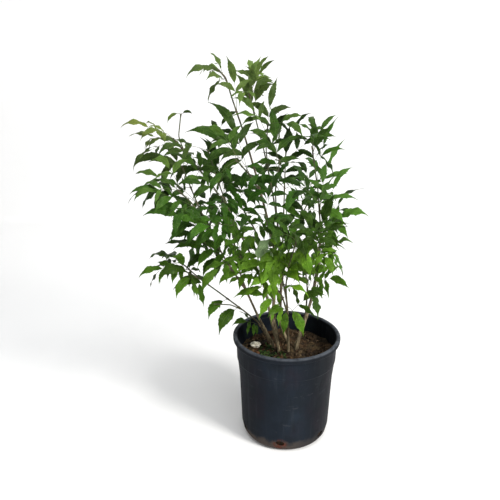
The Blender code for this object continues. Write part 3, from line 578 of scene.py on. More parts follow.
def soil_patch(surface, name, places):
    """The part of the soil's surface inside some ovals, given as (middle, half widths)."""
    work = bmesh.new()
    work.from_mesh(surface)
    outside = []
    for face in work.faces:
        spot = face.calc_center_median()
        inside = any(in_oval(spot.x, spot.y, *middle, *halves) for middle, halves in places)
        if not inside or spot.z < SOIL_LEVEL - SURFACE_DEPTH:
            outside.append(face)
    bmesh.ops.delete(work, geom=outside, context="FACES")
    return mesh_of(work, name, outward=False)


SCATTER = scatter_tree()
soil_surface = soil_mesh()
soil_finish = soil_material("soil", *SOIL_COLOURS)
clod_finish = soil_material("clods", *CLOD_COLOURS)
inner_soil = soil_patch(soil_surface, "inner_soil", [((0.0, 0.0), (CLODS_WITHIN, CLODS_WITHIN))])
crumbs = grown_mesh(soil_surface.copy(), SCATTER, Finish=soil_finish, **CRUMBS)
clods = grown_mesh(inner_soil, SCATTER, Finish=clod_finish, **CLODS)
finished("potting_mix", soil_surface, soil_finish, ["soil"], sharp=80)
finished("soil_crumbs", crumbs, soil_finish, sharp=70)
finished("soil_clods", clods, clod_finish, sharp=70)


# Stone
# One cream-coloured chip of limestone, left from the mix, which lies on the soil at the left. It is a
# ball with a flat bottom, dented by broad waves and a fine grain.

STONE_PLACE = (-0.074, 0.026)
STONE_SIZE = (0.012, 0.010, 0.008)
STONE_FLAT = 0.45
STONE_FACETS = 5
STONE_WAVES = 0.16
STONE_WAVE_RATES = (5, 4)
STONE_WAVE_START = 2
STONE_BANDS = 0.10
STONE_BAND_RATE = 7
STONE_DENTS = (2.3, 0.16)
STONE_CREASES = (4.0, 0.10)
STONE_GRAIN = (9.0, 0.03)
LIMESTONE = (0.74, 0.66, 0.52)
LIMESTONE_LIGHT = (0.90, 0.86, 0.76)
STONE_DIRT = (0.30, 0.22, 0.15)


def stone_mesh():
    work = bmesh.new()
    bmesh.ops.create_icosphere(work, subdivisions=STONE_FACETS, radius=1.0)
    x, y = STONE_PLACE
    rate_x, rate_y = STONE_WAVE_RATES
    reach_x, reach_y, reach_z = STONE_SIZE
    lowest = -STONE_FLAT * reach_z
    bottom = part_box("stone")[0].z
    for v in work.verts:
        waves = STONE_WAVES * math.sin(rate_x * v.co.x + STONE_WAVE_START) * math.cos(rate_y * v.co.y)
        lumps = 1.0 + waves + STONE_BANDS * math.sin(STONE_BAND_RATE * v.co.z)
        creases = abs(noise_at(v.co, *STONE_CREASES))
        lumps += noise_at(v.co, *STONE_DENTS) - creases + noise_at(v.co, *STONE_GRAIN)
        v.co = (v.co.x * reach_x * lumps, v.co.y * reach_y * lumps, v.co.z * reach_z * lumps)
        v.co = (x + v.co.x, y + v.co.y, max(v.co.z, lowest) - lowest + bottom)
    return mesh_of(work, "stone_chip", outward=False)


def stone_material():
    material, tree, shader, place = new_material("limestone", Roughness=0.85, Specular_IOR_Level=0.3)
    colour = layered(tree, LIMESTONE, (blotches(tree, place, 160.0, 0.35, 0.65), LIMESTONE_LIGHT),
                     (blotches(tree, place, 420.0, 0.54, 0.66, share=0.6), STONE_DIRT))
    connect(tree, shader, Base_Color=colour)
    raised(tree, shader, blotches(tree, place, 700.0, 0.2, 0.8, 6.0), 0.0006)
    return material


finished("stone_chip", stone_mesh(), stone_material(), ["stone"], sharp=60)


# Weeds and litter
# Small weeds have seeded in the mix beside the stone, each a rosette of oval leaves on the soil, and dry
# leaflets and husks that the shrub dropped lie curled on the rest. They only lie or grow on the surface.

WEED_PLACES = [((-0.046, 0.004), (0.018, 0.034)), ((-0.030, -0.028), (0.028, 0.024))]
WEEDS = {"Per_square_metre": 30000.0, "Smallest": 0.006, "Largest": 0.013, "Tilt": 0.5,
         "Lift": 0.0006, "Seed": 3}
WEED_SEED = 100
WEED_PATTERNS = 3
WEED_LEAVES = 6
WEED_LENGTH = (0.34, 0.56)
WEED_LIFT = (0.10, 0.55)
WEED_WIDTH = 0.42
WEED_TURN = 0.25
WEED_WIDEST = 1.3
WEED_STALK = 0.10
WEED_RISE = 1.9
WEED_DROOP = 1.5
WEED_FOLD = 0.05
WEED_STATIONS = (0.0, 0.30, 0.62, 0.88, 1.0)
WEED_THICKNESS = 0.02
HALF_TURN = 3.14159
LITTER = {"Per_square_metre": 4600.0, "Smallest": 0.007, "Largest": 0.020, "Tilt": 0.45,
          "Lift": 0.0012, "Seed": 12}
LITTER_SEED = 200
LITTER_WITHIN = (SOIL_EDGE - 0.014, SOIL_EDGE - 0.014)
LITTER_PATTERNS = 5
LITTER_STATIONS = 8
LITTER_CURL = (1.2, 3.6)
LITTER_ROLL = (0.5, 1.6)
LITTER_WIDTH = (0.10, 0.20)
LITTER_ROWS = (-1.0, -0.5, 0.0, 0.5, 1.0)
LITTER_FULLNESS = 0.7
LITTER_END = 0.12
LITTER_LIFT = 0.06
LITTER_WAVES = 5.0
LITTER_THICKNESS = 0.022
WEED_GREENS = (0.016, 0.042, 0.010), (0.085, 0.150, 0.030)
HUSK = (0.060, 0.034, 0.018)
HUSK_PALE = (0.230, 0.160, 0.095)
HUSK_RED = (0.105, 0.048, 0.024)


def loft(work, rings, closed=False):
    """Faces from each row of corners to the next."""
    for a, b in zip(rings, rings[1:]):
        for k in range(len(a) - (not closed)):
            n = (k + 1) % len(a)
            work.faces.new((a[k], b[k], b[n], a[n]))


def weed_pattern(number):
    """A rosette of width 1: oval leaves that rise from the middle and droop at their ends."""
    chance = random.Random(WEED_SEED + number)
    work = bmesh.new()
    for i in range(WEED_LEAVES):
        angle = math.tau * (i + chance.uniform(-WEED_TURN, WEED_TURN)) / WEED_LEAVES
        turn = Matrix.Rotation(angle, 4, "Z")
        long = chance.uniform(*WEED_LENGTH)
        lift = chance.uniform(*WEED_LIFT)
        rings = []
        for share in WEED_STATIONS:
            half = WEED_WIDTH * long * (math.sin(math.pi * share**WEED_WIDEST) + WEED_STALK)
            rise = lift * long * (WEED_RISE * share - WEED_DROOP * share * share)
            ring = [Vector((long * share, side * half, rise - WEED_FOLD * abs(side))) for side in (-1, 0, 1)]
            rings.append([work.verts.new(turn @ corner) for corner in ring])
        loft(work, rings)
    bmesh.ops.solidify(work, geom=work.faces[:], thickness=WEED_THICKNESS)
    return mesh_of(work, f"weed_pattern_{number}")


def litter_pattern(number):
    """A dry leaflet of length about 1, curled along its length and rolled across."""
    chance = random.Random(LITTER_SEED + number)
    curl = chance.uniform(*LITTER_CURL)
    rolled = chance.uniform(*LITTER_ROLL)
    half_wide = chance.uniform(*LITTER_WIDTH)
    work = bmesh.new()
    rings = []
    for i in range(LITTER_STATIONS):
        share = i / (LITTER_STATIONS - 1)
        bend = curl * (share - 0.5)
        half = half_wide * (math.sin(math.pi * share) ** LITTER_FULLNESS + LITTER_END)
        wave = LITTER_LIFT * math.sin(LITTER_WAVES * share)
        middle = Vector((math.sin(bend) / curl, (1.0 - math.cos(bend)) / curl, wave))
        out = Vector((math.sin(bend), -math.cos(bend), 0.0))
        ring = []
        for side in LITTER_ROWS:
            turn = rolled * side
            lift = Vector((0.0, 0.0, half * (1.0 - math.cos(turn))))
            ring.append(work.verts.new(middle + out * half * math.sin(turn) + lift))
        rings.append(ring)
    loft(work, rings)
    bmesh.ops.solidify(work, geom=work.faces[:], thickness=LITTER_THICKNESS)
    return mesh_of(work, f"litter_pattern_{number}")


def pattern_collection(name, meshes):
    made = bpy.data.collections.new(name)
    for number, mesh in enumerate(meshes):
        made.objects.link(bpy.data.objects.new(f"{name}_{number}", mesh))
    return made


def picked(tree, points, patterns, **how):
    """An instance of one of the patterns on each point."""
    chosen = add_node(tree, "GeometryNodeCollectionInfo", Collection=patterns, Separate_Children=True,
                      Reset_Children=True)
    return add_node(tree, "GeometryNodeInstanceOnPoints", Points=points, Instance=chosen.outputs["Instances"],
                    Pick_Instance=True, **how).outputs[0]


def strewn_tree():
    """One pattern after another laid on the base, turned at random about the surface's normal."""
    tree, given = new_tree("strewn", Patterns="Collection", Per_square_metre="Float", Smallest="Float",
                           Largest="Float", Tilt="Float", Lift="Float", Seed="Int", Finish="Material")
    tilt = add_node(tree, "ShaderNodeCombineXYZ", given["Tilt"], given["Tilt"], HALF_TURN).outputs[0]
    turn = random_turn(tree, vector_maths(tree, "SUBTRACT", (0.0, 0.0, 0.0), tilt), tilt)
    size = random_value(tree, given["Smallest"], given["Largest"])
    laid = picked(tree, strewn_points(tree, given), given["Patterns"], Rotation=turn, Scale=size)
    lift = add_node(tree, "ShaderNodeCombineXYZ", 0.0, 0.0, given["Lift"]).outputs[0]
    lifted = add_node(tree, "GeometryNodeTranslateInstances", laid, Translation=lift, Local_Space=False)
    return end_tree(tree, lifted.outputs[0], given["Finish"])


def weed_material():
    material, tree, shader, place = new_material("weed", Roughness=0.6, Specular_IOR_Level=0.25)
    shade = blotches(tree, place, 60.0, 0.36, 0.66)
    connect(tree, shader, Base_Color=mixed(tree, shade, *WEED_GREENS))
    raised(tree, shader, blotches(tree, place, 700.0, 0.2, 0.8), 0.0003)
    return material


def litter_material():
    material, tree, shader, place = new_material("litter", Roughness=0.85, Specular_IOR_Level=0.2)
    colour = layered(tree, HUSK,
                     (blotches(tree, place, 36.0, 0.38, 0.62), HUSK_PALE),
                     (blotches(tree, place, 240.0, 0.50, 0.70), HUSK_RED))
    connect(tree, shader, Base_Color=colour)
    raised(tree, shader, blotches(tree, place, 500.0, 0.2, 0.8), 0.0005)
    return material


STREWN = strewn_tree()
weed_finish = weed_material()
litter_finish = litter_material()
weed_patterns = pattern_collection("weed", [weed_pattern(n) for n in range(WEED_PATTERNS)])
litter_patterns = pattern_collection("litter_leaf", [litter_pattern(n) for n in range(LITTER_PATTERNS)])
weed_bed = soil_patch(soil_surface, "weed_bed", WEED_PLACES)
litter_bed = soil_patch(soil_surface, "litter_bed", [((0.0, 0.0), LITTER_WITHIN)])
weeds = grown_mesh(weed_bed, STREWN, Patterns=weed_patterns, Finish=weed_finish, **WEEDS)
litter = grown_mesh(litter_bed, STREWN, Patterns=litter_patterns, Finish=litter_finish, **LITTER)
finished("weeds", weeds, weed_finish, sharp=60)
finished("dry_litter", litter, litter_finish, sharp=60)


# Stems
# Seven woody stems stand in the soil, each with its side shoots. Old wood is grey-brown and furrowed, and
# the new growth at the tips is smooth and green. The routes and radii are those of the solids. Each
# shoot's tube is swept along its route by a node tree, with a knob where a leaf was.

ROOT_DEPTH = 0.030
STEM_COLLAR = 0.007
SHOOT_STEP = 0.075
SHOOT_TIP = 0.0013
SHOOT_TAPER = 1.5
SIDE_SHOOT = 0.0028
SIDE_SHARE = 0.8
SIDE_BEND = 0.38
RING_STEP = 0.004
TUBE_SIDES = 10
ROUTE_SMOOTHINGS = 3
KNOB_HEIGHT = 0.0007
KNOB_REACH = 0.006
BARK_ROUGHNESS = 0.45
BARK_SCALE = 260.0
# From one radius to another, green turns brown, brown turns to bark, and the skin grows rough.
GREEN_TO_BROWN = (0.0013, 0.0024)
BROWN_TO_BARK = (0.0018, 0.0036)
WOOD_ROUGHNESS = (0.0015, 0.0035, 0.55, 0.88)
NEW_GREEN = (0.045, 0.060, 0.020), (0.085, 0.092, 0.034)
YOUNG_BROWN = (0.040, 0.027, 0.016), (0.105, 0.080, 0.048)
OLD_BARK = (0.090, 0.070, 0.040), (0.330, 0.270, 0.165)
BARK_DOTS = (0.360, 0.310, 0.215)

EYE = Vector((-0.087, -1.274, 0.924))
EYE_PITCH = math.radians(19.643)
EYE_FOCUS = 600.0
PICTURE_MIDDLE = 250.0

# Each leafy stem: its seed for the leaves' poses, where it stands, its radius there, the points its
# main shoot passes through and how many leaf pairs that shoot carries; its side shoots, as (share of
# the way up, tip, leaf pairs); and the tips of the leaves that make the crown's edge. Points are
# (picture column, picture row, y).
STEMS = {
    "low_left": {
        "seed": 19463,
        "root": (-0.038, 0.030),
        "radius": 0.0026,
        "route": [(258, 322, 0.015), (243, 310, -0.015), (220, 293, -0.045), (202, 280, -0.060),
                  (183, 270, -0.068)],
        "pairs": 1,
        "sides": [(0.80, (176, 258, -0.040), 1), (0.50, (214, 304, -0.075), 0)],
        "edge": [(137, 279, -0.070), (149, 289, -0.045), (161, 281, -0.100), (174, 289, -0.090),
                 (178, 298, -0.100), (198, 301, -0.090), (206, 305, -0.045), (209, 321, -0.075),
                 (219, 335, -0.090), (232, 326, -0.050)],
    },
    "left": {
        "seed": 50271,
        "root": (-0.030, 0.010),
        "radius": 0.0038,
        "route": [(258, 316, 0.000), (246, 290, -0.020), (227, 262, -0.040), (209, 230, -0.060),
                  (192, 203, -0.072), (178, 190, -0.080)],
        "pairs": 2,
        "sides": [(0.50, (198, 236, -0.025), 1), (0.66, (182, 166, -0.020), 2),
                  (0.40, (232, 225, -0.110), 1)],
        "edge": [(127, 194, -0.090), (127, 206, -0.060), (142, 216, -0.110), (171, 221, -0.120),
                 (162, 245, -0.030), (172, 250, -0.070), (133, 175, -0.020), (157, 180, -0.050),
                 (150, 183, -0.070)],
    },
    "upper_left": {
        "seed": 49756,
        "root": (-0.018, -0.006),
        "radius": 0.0043,
        "route": [(271, 319, 0.002), (266, 291, 0.010), (254, 261, 0.020), (236, 225, 0.028),
                  (213, 186, 0.032), (190, 158, 0.030), (173, 138, 0.030)],
        "pairs": 1,
        "sides": [(0.92, (181, 114, 0.040), 0), (0.50, (222, 196, -0.065), 2),
                  (0.62, (208, 150, 0.000), 1)],
        "edge": [(128, 128, 0.020), (127, 137, 0.040), (133, 168, 0.030), (165, 154, -0.010),
                 (200, 148, 0.050), (200, 138, 0.000), (152, 142, 0.090)],
    },
    "top_left": {
        "seed": 74686,
        "root": (-0.018, 0.036),
        "radius": 0.0048,
        "route": [(273, 315, 0.026), (275, 286, 0.028), (276, 257, 0.026), (268, 220, 0.012),
                  (257, 178, 0.000), (242, 127, -0.010), (232, 98, -0.010), (226, 78, -0.012),
                  (218, 69, -0.015)],
        "pairs": 0,
        "sides": [(0.22, (214, 166, 0.145), 3), (0.28, (198, 212, 0.115), 2),
                  (0.50, (236, 160, -0.080), 1), (0.16, (284, 297, -0.008), 0)],
        "edge": [(184, 76, -0.030), (205, 51, 0.010), (227, 56, -0.030), (196, 81, 0.030),
                 (206, 82, -0.060), (207, 103, -0.030), (184, 130, -0.050), (208, 128, -0.090)],
    },
    "top": {
        "seed": 87358,
        "root": (0.005, 0.022),
        "radius": 0.0040,
        "route": [(280, 323, 0.020), (281, 296, 0.018), (281, 254, 0.028), (275, 206, 0.036),
                  (264, 150, 0.038), (254, 112, 0.030), (249, 93, 0.022)],
        "pairs": 1,
        "sides": [(0.22, (286, 145, 0.150), 3), (0.30, (322, 176, 0.150), 2),
                  (0.55, (280, 160, -0.050), 1), (0.72, (268, 124, -0.020), 1)],
        "edge": [(272, 57, 0.010), (261, 54, 0.050), (277, 77, 0.040), (274, 84, -0.030),
                 (234, 72, 0.040), (232, 98, -0.030), (270, 106, -0.040), (288, 113, -0.020),
                 (290, 126, 0.050)],
    },
    "right": {
        "seed": 53296,
        "root": (0.024, 0.004),
        "radius": 0.0054,
        "route": [(305, 321, 0.014), (312, 298, 0.028), (319, 268, 0.040), (321, 234, 0.050),
                  (318, 190, 0.056), (312, 146, 0.046)],
        "pairs": 1,
        "sides": [(0.44, (320, 204, -0.045), 1), (0.32, (318, 248, -0.070), 1),
                  (0.36, (326, 232, 0.140), 2), (0.22, (305, 264, -0.045), 1)],
        "edge": [(319, 320, -0.050), (282, 109, 0.030), (312, 114, 0.070), (340, 115, 0.060),
                 (336, 124, 0.000), (347, 139, 0.070), (328, 143, 0.010), (356, 168, 0.080),
                 (328, 165, 0.020), (337, 176, -0.040), (368, 190, -0.050), (335, 194, -0.090),
                 (370, 218, -0.060), (348, 224, -0.090), (354, 241, -0.060), (325, 268, -0.110),
                 (336, 268, -0.080), (350, 290, -0.060), (325, 298, -0.060)],
    },
    "front": {
        "seed": 16433,
        "root": (0.004, -0.014),
        "radius": 0.0036,
        "route": [(288, 325, -0.025), (287, 302, -0.048), (282, 276, -0.080), (273, 246, -0.105),
                  (265, 214, -0.120)],
        "pairs": 1,
        "sides": [(0.42, (240, 256, -0.125), 1), (0.50, (297, 240, -0.140), 1)],
        "edge": [(275, 296, -0.120), (292, 283, -0.090), (240, 300, -0.110), (233, 298, -0.100),
                 (222, 287, -0.120), (305, 335, -0.055), (281, 334, -0.065), (258, 263, -0.170),
                 (250, 289, -0.140), (305, 262, -0.160), (262, 232, -0.160), (290, 226, -0.160),
                 (240, 238, -0.160), (225, 258, -0.150), (267, 317, -0.090), (234, 276, -0.140),
                 (262, 289, -0.120), (268, 284, -0.150), (302, 286, -0.140), (316, 292, -0.110),
                 (326, 296, -0.100), (296, 268, -0.170), (276, 252, -0.180), (318, 248, -0.130),
                 (244, 262, -0.170)],
    },
}


def seen_at(column, row, y):
    """The point with this y that the picture shows at this column and row."""
    ahead = y - EYE.y
    below = row - PICTURE_MIDDLE
    c, n = math.cos(EYE_PITCH), math.sin(EYE_PITCH)
    drop = ahead * (below * c + EYE_FOCUS * n) / (EYE_FOCUS * c - below * n)
    depth = ahead * c + drop * n
    return Vector((EYE.x + (column - PICTURE_MIDDLE) * depth / EYE_FOCUS, y, EYE.z - drop))


def root_bottom(stem):
    x, y = stem["root"]
    return Vector((x, y, soil_height(x, y) - ROOT_DEPTH))


def smooth_route(points, spacing):
    """Points on a smooth curve through the given ones, about one spacing apart."""
    ends = [2 * points[0] - points[1], *points, 2 * points[-1] - points[-2]]
    made = []
    for a, b, c, d in zip(ends, ends[1:], ends[2:], ends[3:]):
        steps = max(1, round((c - b).length / spacing))
        for i in range(steps):
            t = i / steps
            made.append(0.5 * (2 * b + (c - a) * t + (2 * a - 5 * b + 4 * c - d) * t**2
                               + (3 * b - a - 3 * c + d) * t**3))
    return [*made, points[-1]]


def main_route(stem):
    """Straight up out of the soil, then through the stem's own points."""
    x, y = stem["root"]
    collar = Vector((x, y, soil_height(x, y) + STEM_COLLAR))
    above = smooth_route([collar, *(seen_at(*point) for point in stem["route"])], SHOOT_STEP)
    return [root_bottom(stem), *above]


def side_route(main, share, tip):
    """A side shoot leaves the main shoot along it, and bends out to its tip."""
    place = share * (len(main) - 1)
    i = min(int(place), len(main) - 2)
    start = main[i].lerp(main[i + 1], place - i)
    tip = seen_at(*tip)
    along = (main[i + 1] - main[i]).normalized()
    bend = start + along * SIDE_BEND * (tip - start).length
    steps = max(2, round((tip - start).length / SHOOT_STEP))
    return [start.lerp(bend, t).lerp(bend.lerp(tip, t), t) for t in (k / steps for k in range(steps + 1))]


def shoots_of(stem):
    """Each shoot as (points, radius at each point, leaf pairs), the main shoot first."""
    main = main_route(stem)
    thick = stem["radius"]
    main_radii = [
        SHOOT_TIP + (thick - SHOOT_TIP) * (1.0 - i / (len(main) - 1)) ** SHOOT_TAPER for i in range(len(main))
    ]
    main_radii[0] = main_radii[1] = thick
    found = [(main, main_radii, stem["pairs"])]
    for share, tip, pairs in stem["sides"]:
        points = side_route(main, share, tip)
        start = min(SIDE_SHOOT, SIDE_SHARE * main_radii[int(share * (len(main) - 1))])
        radii = [start + (SHOOT_TIP - start) * i / (len(points) - 1) for i in range(len(points))]
        found.append((points, radii, pairs))
    return found


def plain_tube(points, radii, resolution):
    """The solid's own plain tube along a shoot, which leaves have to clear."""
    curve = bpy.data.curves.new("plain_tube", "CURVE")
    curve.dimensions = "3D"
    curve.bevel_depth = 1.0
    curve.bevel_resolution = resolution
    curve.use_fill_caps = True
    spline = curve.splines.new("POLY")
    spline.points.add(len(points) - 1)
    for point, place, radius in zip(spline.points, points, radii):
        point.co = (*place, 1.0)
        point.radius = radius
    work = bmesh.new()
    work.from_mesh(evaluated_mesh(new_object("plain_tube", curve)))
    bmesh.ops.remove_doubles(work, verts=work.verts, dist=0.00002)
    return mesh_of(work, "plain_tube", outward=False)


SHOOTS = {name: shoots_of(stem) for name, stem in STEMS.items()}


def named_attribute(tree, kind, name):
    return add_node(tree, "GeometryNodeInputNamedAttribute", name, data_type=kind).outputs["Attribute"]


def sweep_tree():
    """A tube along each line of the base, as thick as its radius, roughened by its age."""
    tree, given = new_tree("swept_shoots", Sides="Int", Roughness="Float", Finish="Material")
    line = add_node(tree, "GeometryNodeMeshToCurve", given["Base"]).outputs[0]
    ring = add_node(tree, "GeometryNodeCurvePrimitiveCircle", Resolution=given["Sides"], Radius=1.0)
    radius = named_attribute(tree, "FLOAT", "thickness")
    tube = add_node(tree, "GeometryNodeCurveToMesh", Curve=line, Profile_Curve=ring.outputs[0],
                    Scale=radius, Fill_Caps=True)
    place = tree.nodes.new("GeometryNodeInputPosition").outputs[0]
    bark = add_node(tree, "ShaderNodeTexNoise", Vector=stretched(tree, place, 0.35), Scale=BARK_SCALE)
    lift = times(tree, maths(tree, "SUBTRACT", bark.outputs[0], 0.5), given["Roughness"])
    return end_tree(tree, along_normals(tree, tube.outputs[0], times(tree, lift, radius)), given["Finish"])


def shoot_lines(stem_shoots, knots):
    """Lines with a point every ring, their radii, and a small knob at each place where a leaf grows."""
    mesh = bpy.data.meshes.new("shoot_lines")
    points, edges, radii = [], [], []
    for route, thicknesses, _ in stem_shoots:
        first = len(points)
        for (a, b), (thin, thick) in zip(zip(route, route[1:]), zip(thicknesses, thicknesses[1:])):
            steps = max(1, round((b - a).length / RING_STEP))
            for i in range(steps):
                points.append(a.lerp(b, i / steps))
                radii.append(thin + (thick - thin) * i / steps)
        points.append(route[-1].copy())
        radii.append(thicknesses[-1])
        edges += [(i, i + 1) for i in range(first, len(points) - 1)]
        for _ in range(ROUTE_SMOOTHINGS):
            kept = points[first:]
            for i in range(1, len(kept) - 1):
                points[first + i] = 0.25 * kept[i - 1] + 0.5 * kept[i] + 0.25 * kept[i + 1]
    for i, point in enumerate(points):
        near = min(((point - knot).length for knot in knots), default=1.0)
        radii[i] += KNOB_HEIGHT * max(0.0, 1.0 - near / KNOB_REACH)
    mesh.from_pydata(points, edges, [])
    for item, radius in zip(mesh.attributes.new("thickness", "FLOAT", "POINT").data, radii):
        item.value = radius
    return mesh


def wood_material():
    """Green at the tips, then brown, then grey bark with pale dots, by the shoot's own radius."""
    material, tree, shader, place = new_material("wood", Specular_IOR_Level=0.3)
    radius = add_node(tree, "ShaderNodeAttribute", attribute_name="thickness").outputs["Fac"]
    streaks = blotches(tree, stretched(tree, place, 0.16), 210.0, 0.38, 0.62)
    green, brown, bark = (mixed(tree, streaks, *pair) for pair in (NEW_GREEN, YOUNG_BROWN, OLD_BARK))
    dots = blotches(tree, place, 520.0, 0.64, 0.72)
    young = mixed(tree, ramp(tree, radius, *GREEN_TO_BROWN), green, brown)
    colour = mixed(tree, ramp(tree, radius, *BROWN_TO_BARK), young, mixed(tree, dots, bark, BARK_DOTS))
    connect(tree, shader, Base_Color=colour, Roughness=ramp(tree, radius, *WOOD_ROUGHNESS))
    raised(tree, shader, maths(tree, "ADD", streaks, times(tree, dots, 0.5)), 0.0008, 0.8)
    return material


SWEPT = sweep_tree()
wood_finish = wood_material()


# Leaves
# Feather-like leaves in opposite pairs, each a slim green stalk with toothed leaflets, grown from its
# shoot, that arch over and end in a drawn-out tip. Those of the solids come first, by the same rule and
# the same draws, then more where there is room. A node tree bends every leaflet from a flat pattern.

LEAF_STALK = 0.092
TERMINAL_LEAFLET = 0.086
SIDE_LEAFLET = 0.069
LEAFLET_SLENDERNESS = 0.172
LONG_LEAFLET = 0.080
RIB_WIDTH = 0.0022
RIB_DEPTH = 0.0016
RIDGE = 0.0010
EDGE_FALL = 0.16
LEAFLET_SEAT = 0.0032
LEAFLET_SPREAD = 50
WIDER_EACH_PAIR = 14
SHORTER_EACH_PAIR = 0.14
PAIR_STEP = 0.29
STALK_TAPER = 0.35
LONG_BLADE = [(0.20, 0.78, 0.90), (0.46, 1.00, 0.86), (0.74, 0.56, 0.66)]
SHORT_BLADE = [(0.26, 0.92, 1.00), (0.60, 0.86, 0.76)]
LIGHT = Vector((0.05, -0.65, 1.0)).normalized()
LEAFLET_DROOP = math.radians(26)
SIDE_DROOP_SHARE = 0.6
TERMINAL_DROOP_SHARE = 0.5
DROOP_EACH_PAIR = 0.5
UPRIGHT = 0.2
LEAST_DROOP = 0.02
STEEPEST = math.radians(84)
SMALLEST_LEAF = 0.36
LARGEST_LEAF = 1.04
BEST_LEAF = 0.92
TWO_PAIRS_FROM = 0.88
CLEARANCE = 0.0012
OWN_STALK = 0.013

# Growth at the crown's edge: a leaf's arc is longer than the way to its tip, and each try is looser.
ARC_OVER_CHORD = 1.06
EDGE_TRIES = 90
EDGE_LOOSENING = 0.0003
EDGE_DROOP = (18, 56)
EDGE_ROLL = 0.5
UPRIGHT_STIFFNESS = 0.7
TIP_ROUNDS = 8
TIP_MISS = 0.004
RISE_FOR_DROOP = 0.8
BACKWARD_FROM = -0.1
FEET_A_STEP = 6

# Growth down a shoot: angles in degrees at the tip, and how much they gain on the way to old leaves.
PAIR_SPACING = 0.044
SPACING_GAIN = 0.08
FIRST_PAIR_DOWN = 0.004
FIRST_AGE = 0.4
OLD_AFTER = 2.2
LEAF_TRIES = 36
LOOSENESS = (8, 2.0)
OPENING_LOOSENESS = 0.5
OPENING = (38, 26)
DROOPING = (20, 36)
DROOP_SPREAD = (0.7, 1.3)
SIZING = (0.60, 0.40)
SIZE_SPREAD = (0.88, 1.08)
SHRINKING = 0.985
LEAF_ROLL = 0.4
FOOT_STAGGER = 0.0012
LEAN_FROM = (-0.06, 0.01)
LEAN_UP = 0.08
LEAN_SHARE = 1.2

OUTLINE_SLACK = 4.0

# The crown's outline in that picture: row, leftmost column, rightmost column. The gaps in it, through
# which light shows: column, row, half width, half height.
CROWN = [
    (51, 205, 262), (60, 188, 270), (70, 190, 270), (80, 204, 273), (90, 224, 273), (100, 228, 282),
    (110, 234, 312), (117, 192, 324), (124, 132, 336), (135, 130, 336), (145, 140, 327), (158, 146, 321),
    (168, 158, 321), (176, 166, 328), (184, 140, 336), (200, 132, 336), (210, 138, 343), (218, 168, 343),
    (230, 176, 346), (240, 170, 346), (252, 160, 340), (268, 144, 340), (282, 152, 342), (292, 178, 330),
    (304, 200, 324), (322, 208, 321), (338, 214, 310),
]
GAPS = [
    (214, 110, 15, 7), (172, 121, 11, 7), (194, 131, 9, 7), (216, 138, 9, 6), (211, 190, 8, 6),
    (187, 196, 6, 5), (268, 207, 7, 5), (167, 249, 8, 5), (250, 304, 10, 8), (283, 304, 8, 9),
    (301, 301, 7, 9), (331, 172, 8, 6), (291, 310, 9, 9), (256, 313, 8, 7),
]


def in_picture(point):
    """The column and row at which the picture shows a point."""
    way = point - EYE
    c, n = math.cos(EYE_PITCH), math.sin(EYE_PITCH)
    depth = way.y * c - way.z * n
    return (PICTURE_MIDDLE + EYE_FOCUS * way.x / depth,
            PICTURE_MIDDLE - EYE_FOCUS * (way.y * n + way.z * c) / depth)


def in_crown(leaflets):
    """Whether the picture shows all the leaflets inside the crown's outline and clear of its gaps."""
    return all(is_inside(*in_picture(arc.point(1.0))) and not in_gap(arc) for arc, _, _, _ in leaflets)


def in_gap(arc):
    """Whether the picture shows the leaflet's middle or tip in one of the crown's gaps."""
    seen = [in_picture(arc.point(share)) for share in (0.5, 1.0)]
    return any(in_oval(*place, *gap) for place in seen for gap in GAPS)


def is_inside(column, row):
    for (top, left, right), (low, low_left, low_right) in zip(CROWN, CROWN[1:]):
        if top - OUTLINE_SLACK <= row <= low:
            t = max(0.0, (row - top) / (low - top))
            reach_left = left + (low_left - left) * t - OUTLINE_SLACK
            reach_right = right + (low_right - right) * t + OUTLINE_SLACK
            return reach_left <= column <= reach_right
    return False


class Arc:
    """A rib that leaves its start in a direction and droops evenly along its length."""

    def __init__(self, start, direction, length, droop):
        self.start = start
        self.length = length
        self.heading = Vector((direction.x, direction.y, 0.0)).normalized()
        self.pitch = math.asin(max(-1.0, min(1.0, direction.z / direction.length)))
        self.droop = max(LEAST_DROOP, min(droop, self.pitch + STEEPEST))
        self.sideways = self.heading.cross(Vector((0.0, 0.0, 1.0)))

    def point(self, share):
        low = self.pitch - self.droop * share
        out = (math.sin(self.pitch) - math.sin(low)) / self.droop
        up = (math.cos(low) - math.cos(self.pitch)) / self.droop
        return self.start + self.length * (self.heading * out + Vector((0.0, 0.0, up)))

    def direction(self, share):
        low = self.pitch - self.droop * share
        return self.heading * math.cos(low) + Vector((0.0, 0.0, math.sin(low)))

    def carried(self, vector, share):
        """A vector fixed to the rib's start, turned as the rib turns."""
        return Matrix.Rotation(-self.droop * share, 3, self.sideways) @ vector


def across(direction, roll):
    """The unit vector to the right of a direction, for a blade that faces the light, then rolls."""
    right = direction.cross(LIGHT)
    if right.length < UPRIGHT:
        right = direction.cross(Vector((0.0, 0.0, 1.0)))
    right.normalize()
    return right * math.cos(roll) + right.cross(direction) * math.sin(roll)


